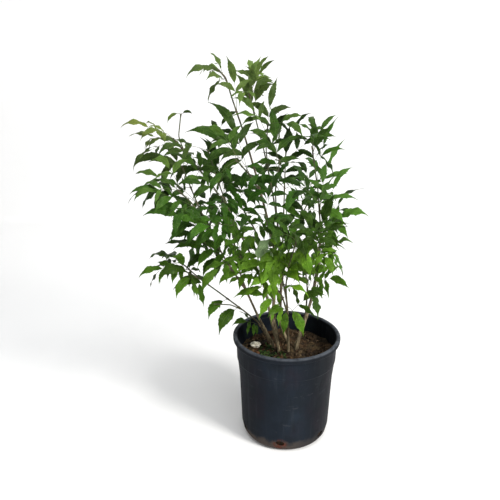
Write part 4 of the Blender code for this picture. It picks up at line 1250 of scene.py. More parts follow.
class Leaf:
    """A stalk, and its leaflets as (arc, seat's share of the stalk, side, the blade's own right)."""

    slimness = 1.0

    def __init__(self, foot, direction, size, droop, roll, pairs):
        self.stalk = Arc(foot, direction, LEAF_STALK * size, droop)
        self.right = across(self.stalk.direction(0.0), roll)
        self.seats = [1.0 - PAIR_STEP * (k + 1) for k in reversed(range(pairs))]
        self.leaflets = []
        for order, seat in enumerate(reversed(self.seats)):
            for side in (-1, 1):
                self.add_side_leaflet(order, seat, side, size, droop)
        arc = Arc(self.stalk.point(1.0), self.stalk.direction(1.0), TERMINAL_LEAFLET * size,
                  TERMINAL_DROOP_SHARE * droop + LEAFLET_DROOP)
        self.leaflets.append((arc, 1.0, 0, self.stalk.carried(self.right, 1.0)))

    def add_side_leaflet(self, order, seat, side, size, droop):
        along = self.stalk.direction(seat)
        right = self.stalk.carried(self.right, seat)
        spread = math.radians(LEAFLET_SPREAD + WIDER_EACH_PAIR * order)
        out = along * math.cos(spread) + right * side * math.sin(spread)
        length = SIDE_LEAFLET * size * (1.0 - SHORTER_EACH_PAIR * order)
        start = self.stalk.point(seat) + right * side * 0.5 * RIB_WIDTH
        droop = SIDE_DROOP_SHARE * droop + LEAFLET_DROOP * (1.0 + DROOP_EACH_PAIR * order)
        arc = Arc(start, out, length, droop)
        self.leaflets.append((arc, seat, side, -side * (along - out * along.dot(out)).normalized()))

    def tip(self):
        return self.leaflets[-1][0].point(1.0)

    def shape(self, swell=0.0, bare=0.0):
        """The leaf's points and triangles: a three-sided stalk, with a leaflet in each seat.

        A swollen shape, without the bare length at the stalk's foot, tests what the leaf would touch.
        """
        half_seat = 0.5 * LEAFLET_SEAT / self.stalk.length
        shares = [bare / self.stalk.length]
        for seat in self.seats:
            shares += [seat - half_seat, seat + half_seat]
        shares.append(1.0)
        points, faces = [], [(0, 1, 2)]
        for share in shares:
            right = self.stalk.carried(self.right, share)
            up = right.cross(self.stalk.direction(share))
            wide = right * (0.5 * RIB_WIDTH * (1.0 - STALK_TAPER * share) + swell)
            deep = up * (0.5 * RIB_DEPTH * (1.0 - STALK_TAPER * share) + swell)
            middle = self.stalk.point(share)
            points += [middle - wide + deep, middle + wide + deep, middle - deep]
        for i in range(len(shares) - 1):
            a, b = 3 * i, 3 * (i + 1)
            faces += [(a, b, b + 1), (a, b + 1, a + 1)]
            if i % 2 == 0:
                faces += [(a, a + 2, b + 2), (a, b + 2, b), (a + 1, b + 1, b + 2), (a + 1, b + 2, a + 2)]
        for arc, seat, side, right in self.leaflets:
            a = 3 * (1 + 2 * self.seats.index(seat)) if side else 3 * (len(shares) - 1)
            b = a + 3
            rings = {
                -1: (a, b, b + 2, a + 2),
                0: (a, a + 1, a + 2, a + 2),
                1: (b + 1, a + 1, a + 2, b + 2),
            }
            add_blade(points, faces, rings[side], arc, right, swell)
        return points, faces


def blade_sections(length):
    """Where a leaflet's cross lines lie, and how wide it is there on its two sides."""
    return LONG_BLADE if length > LONG_LEAFLET else SHORT_BLADE


def add_blade(points, faces, ring, arc, right, swell):
    """A leaflet with a raised rib, lofted from its seat's corners to its tip."""
    left_top, right_top, right_low, left_low = ring
    last = None
    half = arc.length * LEAFLET_SLENDERNESS + swell
    for share, left_wide, right_wide in blade_sections(arc.length):
        middle = arc.point(share)
        way = arc.carried(right, share)
        up = way.cross(arc.direction(share))
        start = len(points)
        points.append(middle - way * half * left_wide - up * half * EDGE_FALL)
        points.append(middle + up * (RIDGE + swell))
        points.append(middle + way * half * right_wide - up * half * EDGE_FALL)
        left, rib, far = start, start + 1, start + 2
        if last is None:
            faces += [(left_top, left, rib), (left_top, rib, right_top), (right_top, rib, far)]
            faces += [(left_low, far, left), (left_top, left_low, left), (right_top, far, right_low)]
            if left_low != right_low:
                faces.append((left_low, right_low, far))
        else:
            a, b, c = last
            faces += [(a, left, rib), (a, rib, b), (b, rib, far), (b, far, c)]
            faces += [(a, c, far), (a, far, left)]
        last = (left, rib, far)
    tip = len(points)
    points.append(arc.point(1.0 + swell / arc.length))
    a, b, c = last
    faces += [(a, tip, b), (b, tip, c), (a, c, tip)]


def crosses_itself(points, faces):
    tree = BVHTree.FromPolygons(points, faces)
    return any(i < j and not set(faces[i]) & set(faces[j]) for i, j in tree.overlap(tree))


def reach_of(points):
    low = Vector(min(p[i] for p in points) for i in range(3))
    high = Vector(max(p[i] for p in points) for i in range(3))
    return low, high


def apart(a, b):
    return any(a[0][i] > b[1][i] or b[0][i] > a[1][i] for i in range(3))


class Bush:
    """What has grown so far, so that the next leaf can be bent clear of it."""

    def __init__(self):
        self.grown = []

    def add(self, points, faces):
        self.grown.append((reach_of(points), BVHTree.FromPolygons(points, faces)))

    def add_mesh(self, mesh):
        self.add([v.co.copy() for v in mesh.vertices], [tuple(f.vertices) for f in mesh.polygons])

    def is_clear(self, points, faces):
        reach = reach_of(points)
        tree = None
        for other_reach, other in self.grown:
            if apart(reach, other_reach):
                continue
            tree = tree or BVHTree.FromPolygons(points, faces)
            if tree.overlap(other):
                return False
        return True

    def takes(self, leaf):
        """Adds the leaf if it is clear of itself and of everything."""
        shape = leaf.shape()
        if crosses_itself(*shape) or not self.is_clear(*leaf.shape(CLEARANCE, OWN_STALK)):
            return False
        self.add(*shape)
        return True


def pairs_for(size):
    return 2 if size > TWO_PAIRS_FROM else 1


def size_over(chord):
    """The size of a leaf that arches over this way."""
    return ARC_OVER_CHORD * chord.length / (LEAF_STALK + TERMINAL_LEAFLET)


def leaf_to_tip(foot, tip, droop, roll, most_pairs):
    """A leaf from a foot, turned and sized until its last leaflet ends at a tip, if it can."""
    chord = tip - foot
    size = size_over(chord)
    pairs = min(most_pairs, pairs_for(size))
    way = chord.normalized()
    droop *= 1.0 - UPRIGHT_STIFFNESS * max(0.0, way.z)
    direction = (way + Vector((0.0, 0.0, RISE_FOR_DROOP * droop))).normalized()
    for _ in range(TIP_ROUNDS):
        leaf = Leaf(foot, direction, size, droop, roll, pairs)
        reached = leaf.tip() - foot
        if (reached - chord).length < TIP_MISS:
            return leaf
        direction = reached.rotation_difference(chord) @ direction
        size *= chord.length / reached.length
    return None


def feet_for(tip, shoots):
    """Places on the shoots from which a leaf could reach the tip, the best first."""
    found = []
    for points, _, _ in shoots:
        for a, b in zip(points[1:], points[2:]):
            for k in range(FEET_A_STEP):
                foot = a.lerp(b, k / FEET_A_STEP)
                chord = tip - foot
                size = size_over(chord)
                if SMALLEST_LEAF <= size <= LARGEST_LEAF and foot.z > POT_HEIGHT:
                    backward = max(0.0, BACKWARD_FROM - chord.normalized().dot((b - a).normalized()))
                    found.append((abs(size - BEST_LEAF) + backward, tuple(foot)))
    return [Vector(foot) for _, foot in sorted(found)]


def one_of(feet, rng, best):
    """A foot drawn from this many of the best."""
    return feet[min(len(feet) - 1, rng.randrange(best))]


def grow_edge_leaves(bush, rng, shoots, tips):
    """The leaves whose tips make the crown's edge."""
    leaves = []
    for wanted in tips:
        tip = seen_at(*wanted)
        feet = feet_for(tip, shoots)
        for attempt in range(EDGE_TRIES if feet else 0):
            loose = EDGE_LOOSENING * attempt
            shifted = tip + Vector([rng.uniform(-loose, loose) for _ in range(3)])
            foot = one_of(feet, rng, 1 + attempt)
            droop = math.radians(rng.uniform(*EDGE_DROOP))
            most_pairs = 2 if attempt < EDGE_TRIES // 2 else 1
            leaf = leaf_to_tip(foot, shifted, droop, rng.uniform(-EDGE_ROLL, EDGE_ROLL), most_pairs)
            if leaf and in_crown(leaf.leaflets[:-1]) and bush.takes(leaf):
                leaves.append(leaf)
                break
    return leaves


def grow_leaf(bush, rng, base, way, axis_way, age, lean):
    """The first pose near the wanted one in which the leaf clears all that has grown."""
    for attempt in range(LEAF_TRIES):
        loose = math.radians(LOOSENESS[0] + LOOSENESS[1] * attempt)
        turn = rng.uniform(-loose, loose)
        open_angle = math.radians(OPENING[0] + OPENING[1] * age)
        open_angle += OPENING_LOOSENESS * rng.uniform(-loose, loose)
        droop = math.radians(DROOPING[0] + DROOPING[1] * age) * rng.uniform(*DROOP_SPREAD)
        size = (SIZING[0] + SIZING[1] * age) * rng.uniform(*SIZE_SPREAD) * SHRINKING**attempt
        side = way * math.cos(turn) + axis_way.cross(way) * math.sin(turn)
        direction = axis_way * math.cos(open_angle) + side * math.sin(open_angle)
        direction = (direction + lean).normalized()
        leaf = Leaf(base, direction, size, droop, rng.uniform(-LEAF_ROLL, LEAF_ROLL), pairs_for(size))
        if in_crown(leaf.leaflets) and bush.takes(leaf):
            return leaf
    return None


def grow_leaves(bush, rng, points, pairs):
    """Opposite leaf pairs down a shoot from its tip, each a quarter turn from the last."""
    leaves = []
    quarter = rng.uniform(0.0, math.pi)
    back = list(reversed(points))
    lengths = [0.0]
    for a, b in zip(back, back[1:]):
        lengths.append(lengths[-1] + (a - b).length)
    for k in range(pairs):
        age = min(1.0, (k + FIRST_AGE) / OLD_AFTER)
        down = FIRST_PAIR_DOWN + PAIR_SPACING * k * (1.0 + SPACING_GAIN * k)
        i = max(j for j in range(len(back) - 1) if lengths[j] <= down)
        t = min(1.0, (down - lengths[i]) / (lengths[i + 1] - lengths[i]))
        base = back[i].lerp(back[i + 1], t)
        axis_way = (back[i] - back[i + 1]).normalized()
        level = axis_way.cross(Vector((0.0, 0.0, 1.0)))
        level = level.normalized() if level.length > 1e-4 else Vector((1.0, 0.0, 0.0))
        other = axis_way.cross(level)
        angle = quarter + k * math.pi / 2
        way = level * math.cos(angle) + other * math.sin(angle)
        lean = Vector((base.x - LEAN_FROM[0], base.y - LEAN_FROM[1], LEAN_UP)) * LEAN_SHARE
        for side in (1.0, -1.0):
            foot = base + axis_way * FOOT_STAGGER * side
            leaf = grow_leaf(bush, rng, foot, way * side, axis_way, age, lean)
            if leaf:
                leaves.append(leaf)
    return leaves


def grow_crown(bush, shoots):
    """Each stem's leaves: first those at the crown's edge, then, on every stem, those inside it."""
    chances = {name: random.Random(stem["seed"]) for name, stem in STEMS.items()}
    leaves = {}
    for name, stem in STEMS.items():
        leaves[name] = grow_edge_leaves(bush, chances[name], shoots[name], stem["edge"])
    for name in STEMS:
        for points, _, pairs in shoots[name]:
            leaves[name] += grow_leaves(bush, chances[name], points, pairs)
    return leaves


# What scene.py adds: pairs on a leaf's stalk, leaves inside the crown, and thin ones that reach out of it.
BLADE_FROM = 0.22
LOWEST_SEAT = 0.20
LOWER_SEATS = 0.86
MORE_PAIRS = 3
PAIRS_FROM_SIZE = 0.55
PAIRS_BELOW = 0.60
MORE_SEED = 2024
MORE_TIPS = 44
MORE_ZONES = [((215, 312), (196, 244), (-0.14, 0.10)), ((222, 328), (236, 288), (-0.18, -0.04))]
MORE_TIP_TRIES = 14
MORE_FEET = (3, 4)
MORE_DROOP = (22, 60)
MORE_ROLL = 0.5
FURTHER_SEED = 5
FURTHER_TRIES = 80
FURTHER_SHIFT = 0.05
FURTHER_DROOP = (30, 75)
FURTHER_ROLL = 0.8
FURTHER_SLIMNESS = 0.68
# The thin leaves: stem, and the tip's column, row and depth.
FURTHER_TIPS = [
    ("right", 356, 168, 0.040), ("right", 368, 190, 0.000), ("right", 346, 139, 0.050),
    ("right", 340, 115, 0.040), ("right", 336, 203, -0.050), ("right", 350, 224, -0.060),
    ("right", 333, 180, 0.040), ("top", 274, 84, 0.000), ("top", 276, 60, 0.010),
    ("top_left", 207, 103, -0.020), ("top", 312, 113, 0.040), ("left", 127, 206, -0.060),
    ("upper_left", 133, 172, 0.000), ("upper_left", 203, 136, 0.040),
]
# The small new leaves at the end of the bare twig at the upper left: way, size, droop and roll.
TWIG_LEAVES = [((0.85, -0.25, 0.45), 0.16, 25, -0.7), ((-0.75, -0.3, 0.30), 0.23, 55, 0.6)]


def test_blade(arc, right, swell):
    """A leaflet's own plain shape from a little way along it, which tests what it would touch."""
    middle = arc.point(BLADE_FROM)
    way = arc.carried(right, BLADE_FROM)
    up = way.cross(arc.direction(BLADE_FROM))
    half = 0.5 * arc.length * LEAFLET_SLENDERNESS
    points = [middle - way * half + up * swell, middle + way * half + up * swell, middle - up * swell]
    faces = []
    add_blade(points, faces, (0, 1, 2, 2), arc, right, swell)
    return points, faces


def add_pairs(bush, leaf, size, droop):
    """More leaflet pairs down the leaf's stalk, wherever a leaflet is clear."""
    seats = len(leaf.seats) if size > PAIRS_FROM_SIZE and leaf.stalk.start.z < PAIRS_BELOW else MORE_PAIRS
    for order in range(seats, MORE_PAIRS):
        seat = 1.0 - PAIR_STEP * (order + 1) * (LOWER_SEATS if order > 1 else 1.0)
        if seat < LOWEST_SEAT:
            break
        for side in (-1, 1):
            leaf.add_side_leaflet(order, seat, side, size, droop)
            arc, _, _, right = leaf.leaflets.pop()
            shape = test_blade(arc, right, CLEARANCE)
            if bush.is_clear(*shape) and is_inside(*in_picture(arc.point(1.0))) and not in_gap(arc):
                bush.add(*test_blade(arc, right, 0.0))
                leaf.leaflets.insert(0, (arc, seat, side, right))


def grow_further(bush, shoots, leaves):
    """Slim arched leaves, each from its stem to its own tip."""
    chance = random.Random(FURTHER_SEED)
    for name, column, row, depth in FURTHER_TIPS:
        feet = feet_for(seen_at(column, row, depth), shoots[name])
        for attempt in range(FURTHER_TRIES if feet else 0):
            tip = seen_at(column, row, depth + chance.uniform(-FURTHER_SHIFT, FURTHER_SHIFT))
            foot = one_of(feet, chance, 1 + attempt)
            droop = math.radians(chance.uniform(*FURTHER_DROOP))
            leaf = leaf_to_tip(foot, tip, droop, chance.uniform(-FURTHER_ROLL, FURTHER_ROLL), 1)
            if leaf and bush.takes(leaf):
                leaf.slimness = FURTHER_SLIMNESS
                leaves[name].append(leaf)
                break


def grow_twig_leaves(shoots, leaves):
    """Leaves of one leaflet each, where the upper left stem's first side shoot ends."""
    end = shoots["upper_left"][1][0][-1]
    for way, size, droop, roll in TWIG_LEAVES:
        leaf = Leaf(end, Vector(way).normalized(), size, math.radians(droop), roll, 0)
        leaves["upper_left"].append(leaf)


def grow_more(bush, shoots, leaves):
    """Leaves between those of the solids, to places at random inside the crown."""
    chance = random.Random(MORE_SEED)
    names = list(STEMS)
    for number in range(MORE_TIPS):
        (left, right), (top, low), (near, far) = MORE_ZONES[number % len(MORE_ZONES)]
        column, row = chance.uniform(left, right), chance.uniform(top, low)
        tip = seen_at(column, row, chance.uniform(near, far))
        name = chance.choice(names)
        feet = feet_for(tip, shoots[name])
        for attempt in range(MORE_TIP_TRIES if feet else 0):
            foot = one_of(feet, chance, MORE_FEET[0] + MORE_FEET[1] * attempt)
            droop = math.radians(chance.uniform(*MORE_DROOP))
            leaf = leaf_to_tip(foot, tip, droop, chance.uniform(-MORE_ROLL, MORE_ROLL), 2)
            if leaf and in_crown(leaf.leaflets) and bush.takes(leaf):
                leaves[name].append(leaf)
                break


bush = Bush()
for node in ("pot", "soil", "stone"):
    bush.add_mesh(frame["nodes"][node].data)
for stem_shoots in SHOOTS.values():
    for number, (points, radii, _) in enumerate(stem_shoots):
        bush.add_mesh(plain_tube(points, radii, 1 if number == 0 else 0))
leaves = grow_crown(bush, SHOOTS)
grow_further(bush, SHOOTS, leaves)
grow_more(bush, SHOOTS, leaves)
grow_twig_leaves(SHOOTS, leaves)
for found in leaves.values():
    for leaf in found:
        add_pairs(bush, leaf, leaf.stalk.length / LEAF_STALK, leaf.stalk.droop)


# The patterns and how they are bent. Shares are of the leaflet's length, and heights of its half width.
PATTERN_STATIONS = 19
STATION_CROWDING = 1.05
PATTERN_VARIANTS = 4
BLADE_ROWS = (-1.0, -0.55, 0.0, 0.55, 1.0)
WIDEST_EARLY = 0.78
FULLNESS = 0.9
DRAWN_FROM = 0.57
DRAWN_OVER = 0.36
DRAWN_BY = 0.70
LEAST_HALF = 0.0035
TOOTH = 0.062
TOOTH_AHEAD = 0.020
TOOTH_FADES = (7.0, 5.0)
RAGGED = 0.06
SKEW = 0.03
WAVE = 0.30
WAVES = 15.0
WAVE_LAG = 1.4
EDGE_CURVE = 1.5
HOOK_FROM = 0.62
HOOK = 0.30
RIB_SUNK = 0.010
THICKNESS = 0.0050
THINNER = 0.6
STALK_RINGS = 7
STALK_SIDES = 6
STALK_SWELL = 0.55
SWELL_FADES = 9.0
STALK_FLAT = 0.8
STALK_GIRTH = 0.00055
YOUNG_STALK = 0.050
YOUNG_SIDE = 0.44
YOUNG_WIDER = 1.10
YOUNG_SEAT = 0.40
SLIMMER_HIGH = 0.16
SLIMMER_ZONE = (0.54, 0.64)
GIRTHS = (0.72, 0.94)
RISES = (0.12, 0.50)
STEEPEST_START = 1.4
ROLLS = (-0.45, 0.45)
SHADES = (0.84, 1.16)
TONE_SEED = 77
GUIDE_VALUES = {
    "foot": "FLOAT_VECTOR", "along": "FLOAT_VECTOR", "across": "FLOAT_VECTOR", "hinge": "FLOAT_VECTOR",
    "tone": "FLOAT_VECTOR", "length": "FLOAT", "girth": "FLOAT", "droop": "FLOAT", "kind": "INT",
}


def blade_width(share):
    """Half the blade's width at a share of its length, as a share of its widest."""
    body = math.sin(math.pi * min(1.0, share + 0.004) ** WIDEST_EARLY) ** FULLNESS
    drawn = min(1.0, max(0.0, (share - DRAWN_FROM) / DRAWN_OVER))
    return body * (1.0 - DRAWN_BY * drawn * drawn * (3.0 - 2.0 * drawn))


def leaflet_pattern(number):
    """A flat leaflet of length 1 along X: toothed edges, a sunken rib, waved halves, a thin body."""
    chance = random.Random(number)
    phase = chance.uniform(0.0, math.tau)
    skew = chance.uniform(-SKEW, SKEW)
    ragged = [chance.uniform(-RAGGED, RAGGED) for _ in range(2 * PATTERN_STATIONS)]
    work = bmesh.new()
    uv = work.loops.layers.uv.new("UVMap")
    under = work.faces.layers.float.new("underside")
    rings = []
    for i in range(PATTERN_STATIONS):
        share = (i / (PATTERN_STATIONS - 1)) ** STATION_CROWDING
        faded = min(1.0, TOOTH_FADES[0] * share, TOOTH_FADES[1] * (1.0 - share))
        tooth = (TOOTH if i % 2 else -TOOTH) * faded
        half = LEAFLET_SLENDERNESS * blade_width(share) * (1.0 + tooth) + LEAST_HALF
        ahead = TOOTH_AHEAD * (i % 2) * (1.0 - share)
        curl = skew * math.sin(math.pi * share)
        thick = 0.5 * THICKNESS * (1.0 - THINNER * share)
        hook = -HOOK * max(0.0, share - HOOK_FROM) ** 2
        ring = []
        for v in BLADE_ROWS:
            fall = hook - EDGE_FALL * half * abs(v) ** EDGE_CURVE - RIB_SUNK * (1.0 - share) * (v == 0.0)
            wave = WAVE * half * math.sin(WAVES * share + phase + WAVE_LAG * v) * v * v
            wide = half * (1.0 + ragged[2 * i + (v > 0.0)])
            ring.append((share + ahead * abs(v), v * wide + curl, fall + wave, thick * (1.0 - abs(v))))
        top = [work.verts.new((x, y, z + t)) for x, y, z, t in ring]
        low = [work.verts.new((x, y, z - t)) for x, y, z, t in ring[1:-1]]
        rings.append((share, top, [top[0], *low, top[-1]]))
    for (share_a, *halves_a), (share_b, *halves_b) in zip(rings, rings[1:]):
        for k in range(len(BLADE_ROWS) - 1):
            places = [(share_a, k), (share_b, k), (share_b, k + 1), (share_a, k + 1)]
            for side, (a, b) in enumerate(zip(halves_a, halves_b)):
                corners = list(zip((a[k], b[k], b[k + 1], a[k + 1]), places))
                if side == 0:
                    corners.reverse()
                face = work.faces.new([vertex for vertex, _ in corners])
                face[under] = side
                for loop, (_, (share, row)) in zip(face.loops, corners):
                    loop[uv].uv = (share, 0.5 + 0.5 * BLADE_ROWS[row])
    for _, top, low in (rings[0], rings[-1]):
        for k in range(len(BLADE_ROWS) - 1):
            corners = [top[k], top[k + 1], low[k + 1], low[k]]
            face = work.faces.new([v for n, v in enumerate(corners) if v not in corners[:n]])
            for loop in face.loops:
                loop[uv].uv = (0.0, 0.5)
    return mesh_of(work, f"leaflet_pattern_{number}")


def stalk_pattern():
    """A stalk of length 1 along X and half width 1, swollen at its foot and slimmer at its end."""
    work = bmesh.new()
    uv = work.loops.layers.uv.new("UVMap")
    rings = []
    for i in range(STALK_RINGS):
        share = i / (STALK_RINGS - 1)
        reach = (1.0 - STALK_TAPER * share) * (1.0 + STALK_SWELL * max(0.0, 1.0 - SWELL_FADES * share))
        turns = [math.tau * (k + 0.5) / STALK_SIDES for k in range(STALK_SIDES)]
        ring = [(share, reach * math.cos(turn), STALK_FLAT * reach * math.sin(turn)) for turn in turns]
        rings.append([work.verts.new(corner) for corner in ring])
    loft(work, rings, closed=True)
    work.faces.new(rings[0])
    work.faces.new(rings[-1])
    for face in work.faces:
        for loop in face.loops:
            loop[uv].uv = (loop.vert.co.x, 0.5)
    return mesh_of(work, "stalk_pattern")


def bend_tree():
    """A pattern on each guide point, bent along the guide's arc: length 1 becomes the guide's length."""
    tree, given = new_tree("bent_patterns", Patterns="Collection", Finish="Material")
    number = named_attribute(tree, "INT", "kind")
    placed = picked(tree, given["Base"], given["Patterns"], Instance_Index=number)
    real = add_node(tree, "GeometryNodeRealizeInstances", placed).outputs[0]
    foot, along, right, hinge, _, length, girth, droop, _ = (
        named_attribute(tree, kind, name) for name, kind in GUIDE_VALUES.items()
    )
    x, y, z = split(tree, vector_maths(
        tree, "SUBTRACT", tree.nodes.new("GeometryNodeInputPosition").outputs[0], foot))
    turn = times(tree, x, droop)
    half_turn = maths(tree, "MAXIMUM", times(tree, turn, 0.5), 0.0001)
    chord = maths(tree, "DIVIDE", maths(tree, "SINE", half_turn), half_turn)

    def turned_by(vector, angle, amount):
        made = add_node(tree, "ShaderNodeVectorRotate", rotation_type="AXIS_ANGLE", Vector=vector, Axis=hinge,
                        Angle=times(tree, angle, -1.0))
        return vector_maths(tree, "SCALE", made.outputs[0], Scale=amount)

    reach = times(tree, times(tree, chord, x), length)
    middle = vector_maths(tree, "ADD", foot, turned_by(along, half_turn, reach))
    beside = turned_by(right, turn, times(tree, y, girth))
    above = turned_by(vector_maths(tree, "CROSS_PRODUCT", right, along), turn, times(tree, z, girth))
    place = vector_maths(tree, "ADD", middle, vector_maths(tree, "ADD", beside, above))
    bent_piece = add_node(tree, "GeometryNodeSetPosition", real, Position=place)
    return end_tree(tree, bent_piece.outputs[0], given["Finish"])


def bent(guides, patterns, material):
    """A plain mesh of patterns bent along these guides, with their tones kept as an attribute."""
    points = bpy.data.meshes.new("guides")
    points.from_pydata([g["foot"] for g in guides], [], [])
    for label, kind in GUIDE_VALUES.items():
        for item, given in zip(points.attributes.new(label, kind, "POINT").data, guides):
            setattr(item, "vector" if kind == "FLOAT_VECTOR" else "value", given[label])
    mesh = grown_mesh(points, BENT, Patterns=patterns, Finish=material)
    for label in GUIDE_VALUES:
        if label != "tone" and label in mesh.attributes:
            mesh.attributes.remove(mesh.attributes[label])
    return mesh


def more_arched(arc, right, rise):
    """The same leaflet between the same ends, raised higher in its middle."""
    rise = max(0.0, min(rise, arc.pitch + STEEPEST - arc.droop, STEEPEST_START - arc.pitch))
    half = 0.5 * arc.droop
    length = arc.length * math.sin(half) / half * (half + rise) / math.sin(half + rise)
    turn = Matrix.Rotation(rise, 3, arc.sideways)
    return Arc(arc.start, turn @ arc.direction(0.0), length, arc.droop + 2.0 * rise), turn @ right


def filled_out(leaf, arc, side, right):
    """The leaflets of a small young leaf: the last one runs far down the stalk, the others are small."""
    if leaf.stalk.length > YOUNG_STALK:
        return arc, right
    if side:
        return Arc(arc.start, arc.direction(0.0), YOUNG_SIDE * arc.length, arc.droop), right
    start, way = leaf.stalk.point(YOUNG_SEAT), leaf.stalk.direction(YOUNG_SEAT)
    length = arc.length + (1.0 - YOUNG_SEAT) * leaf.stalk.length
    droop = arc.droop + (1.0 - YOUNG_SEAT) * leaf.stalk.droop
    longer = Arc(start, way, length, droop)
    turn = (longer.point(1.0) - start).rotation_difference(arc.point(1.0) - start)
    return Arc(start, turn @ way, length, droop), leaf.stalk.carried(leaf.right, YOUNG_SEAT)


def guide(arc, right, girth, tone, kind):
    values = (arc.start, arc.direction(0.0), right, arc.sideways, tone, arc.length, girth, arc.droop, kind)
    return dict(zip(GUIDE_VALUES, values))


OLIVE = Vector((0.092, 0.142, 0.032))
DEEP = Vector((0.0155, 0.054, 0.0025))
# Painted light: a yellow-green that stands for light shining through the low leaves in front.
PAINTED_LIGHT_GREEN = Vector((0.142, 0.300, 0.016))
COOL = Vector((0.064, 0.150, 0.021))
BRONZE = Vector((0.105, 0.112, 0.018))
PALE = Vector((0.200, 0.300, 0.140))
PALE_SPOT = (263, 253, 9, 6)
PALE_BEFORE = -0.09
PALE_WIDER = 2.0
STALK_BROWN = (0.060, 0.064, 0.024)
STALK_GREEN = (0.058, 0.092, 0.020)
STALK_RED = (0.055, 0.034, 0.020)
TONES = (0.50, 1.50)
# Zones of the crown: along which axis each begins, and where it is full.
ZONES = {
    "high": (2, 0.69, 0.84), "low": (2, 0.58, 0.43), "lowest": (2, 0.45, 0.36),
    "above_low": (2, 0.46, 0.54), "left": (0, -0.13, -0.29), "left_top": (2, 0.60, 0.68),
    "far_left": (0, -0.24, -0.29), "far_left_top": (2, 0.70, 0.76), "right": (0, 0.0, 0.12),
    "front": (1, 0.03, -0.07), "inward": (0, -0.22, -0.10),
}
LEAST_LEFT_TOP = 0.12
LEAST_INWARD = 0.3
CROWN_MIDDLE = -0.01
CROWN_HALF = 0.15
OLIVE_HIGH, OLIVE_LEFT, COOL_RIGHT, BRIGHT_LOW, BRONZE_LEFT = 0.80, 0.65, 0.6, 0.95, 0.8
LESS_BRIGHT_LOWEST = 0.6
# Painted shade: leaves deep within the crown are darker, less so high up.
PAINTED_SHADE_WITHIN = 0.24
LESS_SHADE_HIGH = 0.7
CALMER_LOW = 0.18
# What the leaf's own tone is multiplied by, and what is added to it.
DULLER = ((0.80, 0.84, 0.80), (0.0, 0.0, 0.0))
YELLOWER = ((1.7, 1.35, 1.0), (0.0, 0.0, 0.0))
PALE_LINES = ((1.25, 1.2, 1.3), (0.022, 0.034, 0.008))
PALE_UNDER = ((1.10, 1.05, 1.1), (0.015, 0.023, 0.006))
VEINS = 9.0
VEIN_SLANT = 0.10
VEIN_LEVELS = (0.43, 0.50)
VEIN_REACH = (1.0, 0.6)
VEIN_SHARE = 0.55
RIB_LEVELS = (0.10, 0.03)
LINE_SHARE = 0.7
LEAF_ROUGHNESS = (0.0, 1.0, 0.42, 0.58)


def is_pale(arc):
    """Whether this is the leaflet in front that shows its pale underside."""
    return in_oval(*in_picture(arc.point(0.5)), *PALE_SPOT) and arc.start.y < PALE_BEFORE


def way_to(value, start, end):
    """How far a value has come from start to end, as a share."""
    return min(1.0, max(0.0, (value - start) / (end - start)))


def leaf_tone(place, chance):
    """Olive high up and on the left, deep green with painted shade within, yellow-green painted light low in
    front, cooler right.
    """
    zone = {name: way_to(place[axis], start, end) for name, (axis, start, end) in ZONES.items()}
    left = zone["left"] * max(LEAST_LEFT_TOP, zone["left_top"])
    low_front = zone["low"] * zone["front"]
    bright = low_front * max(LEAST_INWARD, zone["inward"]) * (1.0 - LESS_BRIGHT_LOWEST * zone["lowest"])
    within = way_to(abs(place.x - CROWN_MIDDLE), CROWN_HALF, 0.0) * zone["above_low"]
    tone = DEEP.lerp(OLIVE, max(OLIVE_HIGH * zone["high"], OLIVE_LEFT * left))
    tone = tone.lerp(COOL, COOL_RIGHT * zone["right"] * (1.0 - low_front))
    # Painted light on the low leaves in front.
    tone = tone.lerp(PAINTED_LIGHT_GREEN, BRIGHT_LOW * bright)
    tone = tone.lerp(BRONZE, BRONZE_LEFT * zone["far_left"] * zone["far_left_top"])
    # Painted shade within the crown.
    darker = 1.0 - PAINTED_SHADE_WITHIN * within * (1.0 - LESS_SHADE_HIGH * zone["high"])
    return tone * chance.uniform(TONES[0], TONES[1] - CALMER_LOW * low_front) * darker


def leaf_material():
    """The leaf's own tone under paler ribs and veins, yellowing patches and a pale underside."""
    material, tree, shader, place = new_material("leaf", Specular_IOR_Level=0.11)
    tone = add_node(tree, "ShaderNodeAttribute", attribute_name="tone").outputs["Color"]
    under = add_node(tree, "ShaderNodeAttribute", attribute_name="underside").outputs["Fac"]
    share, side, _ = split(tree, add_node(tree, "ShaderNodeUVMap", uv_map="UVMap").outputs[0])
    out = maths(tree, "ABSOLUTE", maths(tree, "MULTIPLY_ADD", side, 2.0, -1.0))
    rib = ramp(tree, out, *RIB_LEVELS)
    slanted = maths(tree, "SUBTRACT", share, times(tree, out, VEIN_SLANT))
    wave = maths(tree, "FRACT", times(tree, slanted, VEINS))
    near = maths(tree, "ABSOLUTE", maths(tree, "SUBTRACT", wave, 0.5))
    vein = times(tree, ramp(tree, near, *VEIN_LEVELS), ramp(tree, out, *VEIN_REACH))
    lines = times(tree, maths(tree, "MAXIMUM", rib, times(tree, vein, VEIN_SHARE)), LINE_SHARE)
    masks = {
        DULLER: blotches(tree, place, 70.0, 0.35, 0.65),
        YELLOWER: blotches(tree, place, 26.0, 0.52, 0.72, share=0.35),
        PALE_LINES: lines,
        PALE_UNDER: under,
    }
    colour = layered(tree, tone, *(
        (mask, vector_maths(tree, "MULTIPLY_ADD", tone, *tint)) for tint, mask in masks.items()
    ))
    roughness = ramp(tree, blotches(tree, place, 120.0, 0.3, 0.7), *LEAF_ROUGHNESS)
    connect(tree, shader, Base_Color=colour, Roughness=roughness)
    raised(tree, shader, times(tree, maths(tree, "MAXIMUM", rib, vein), -1.0), 0.0010, 0.8)
    return material


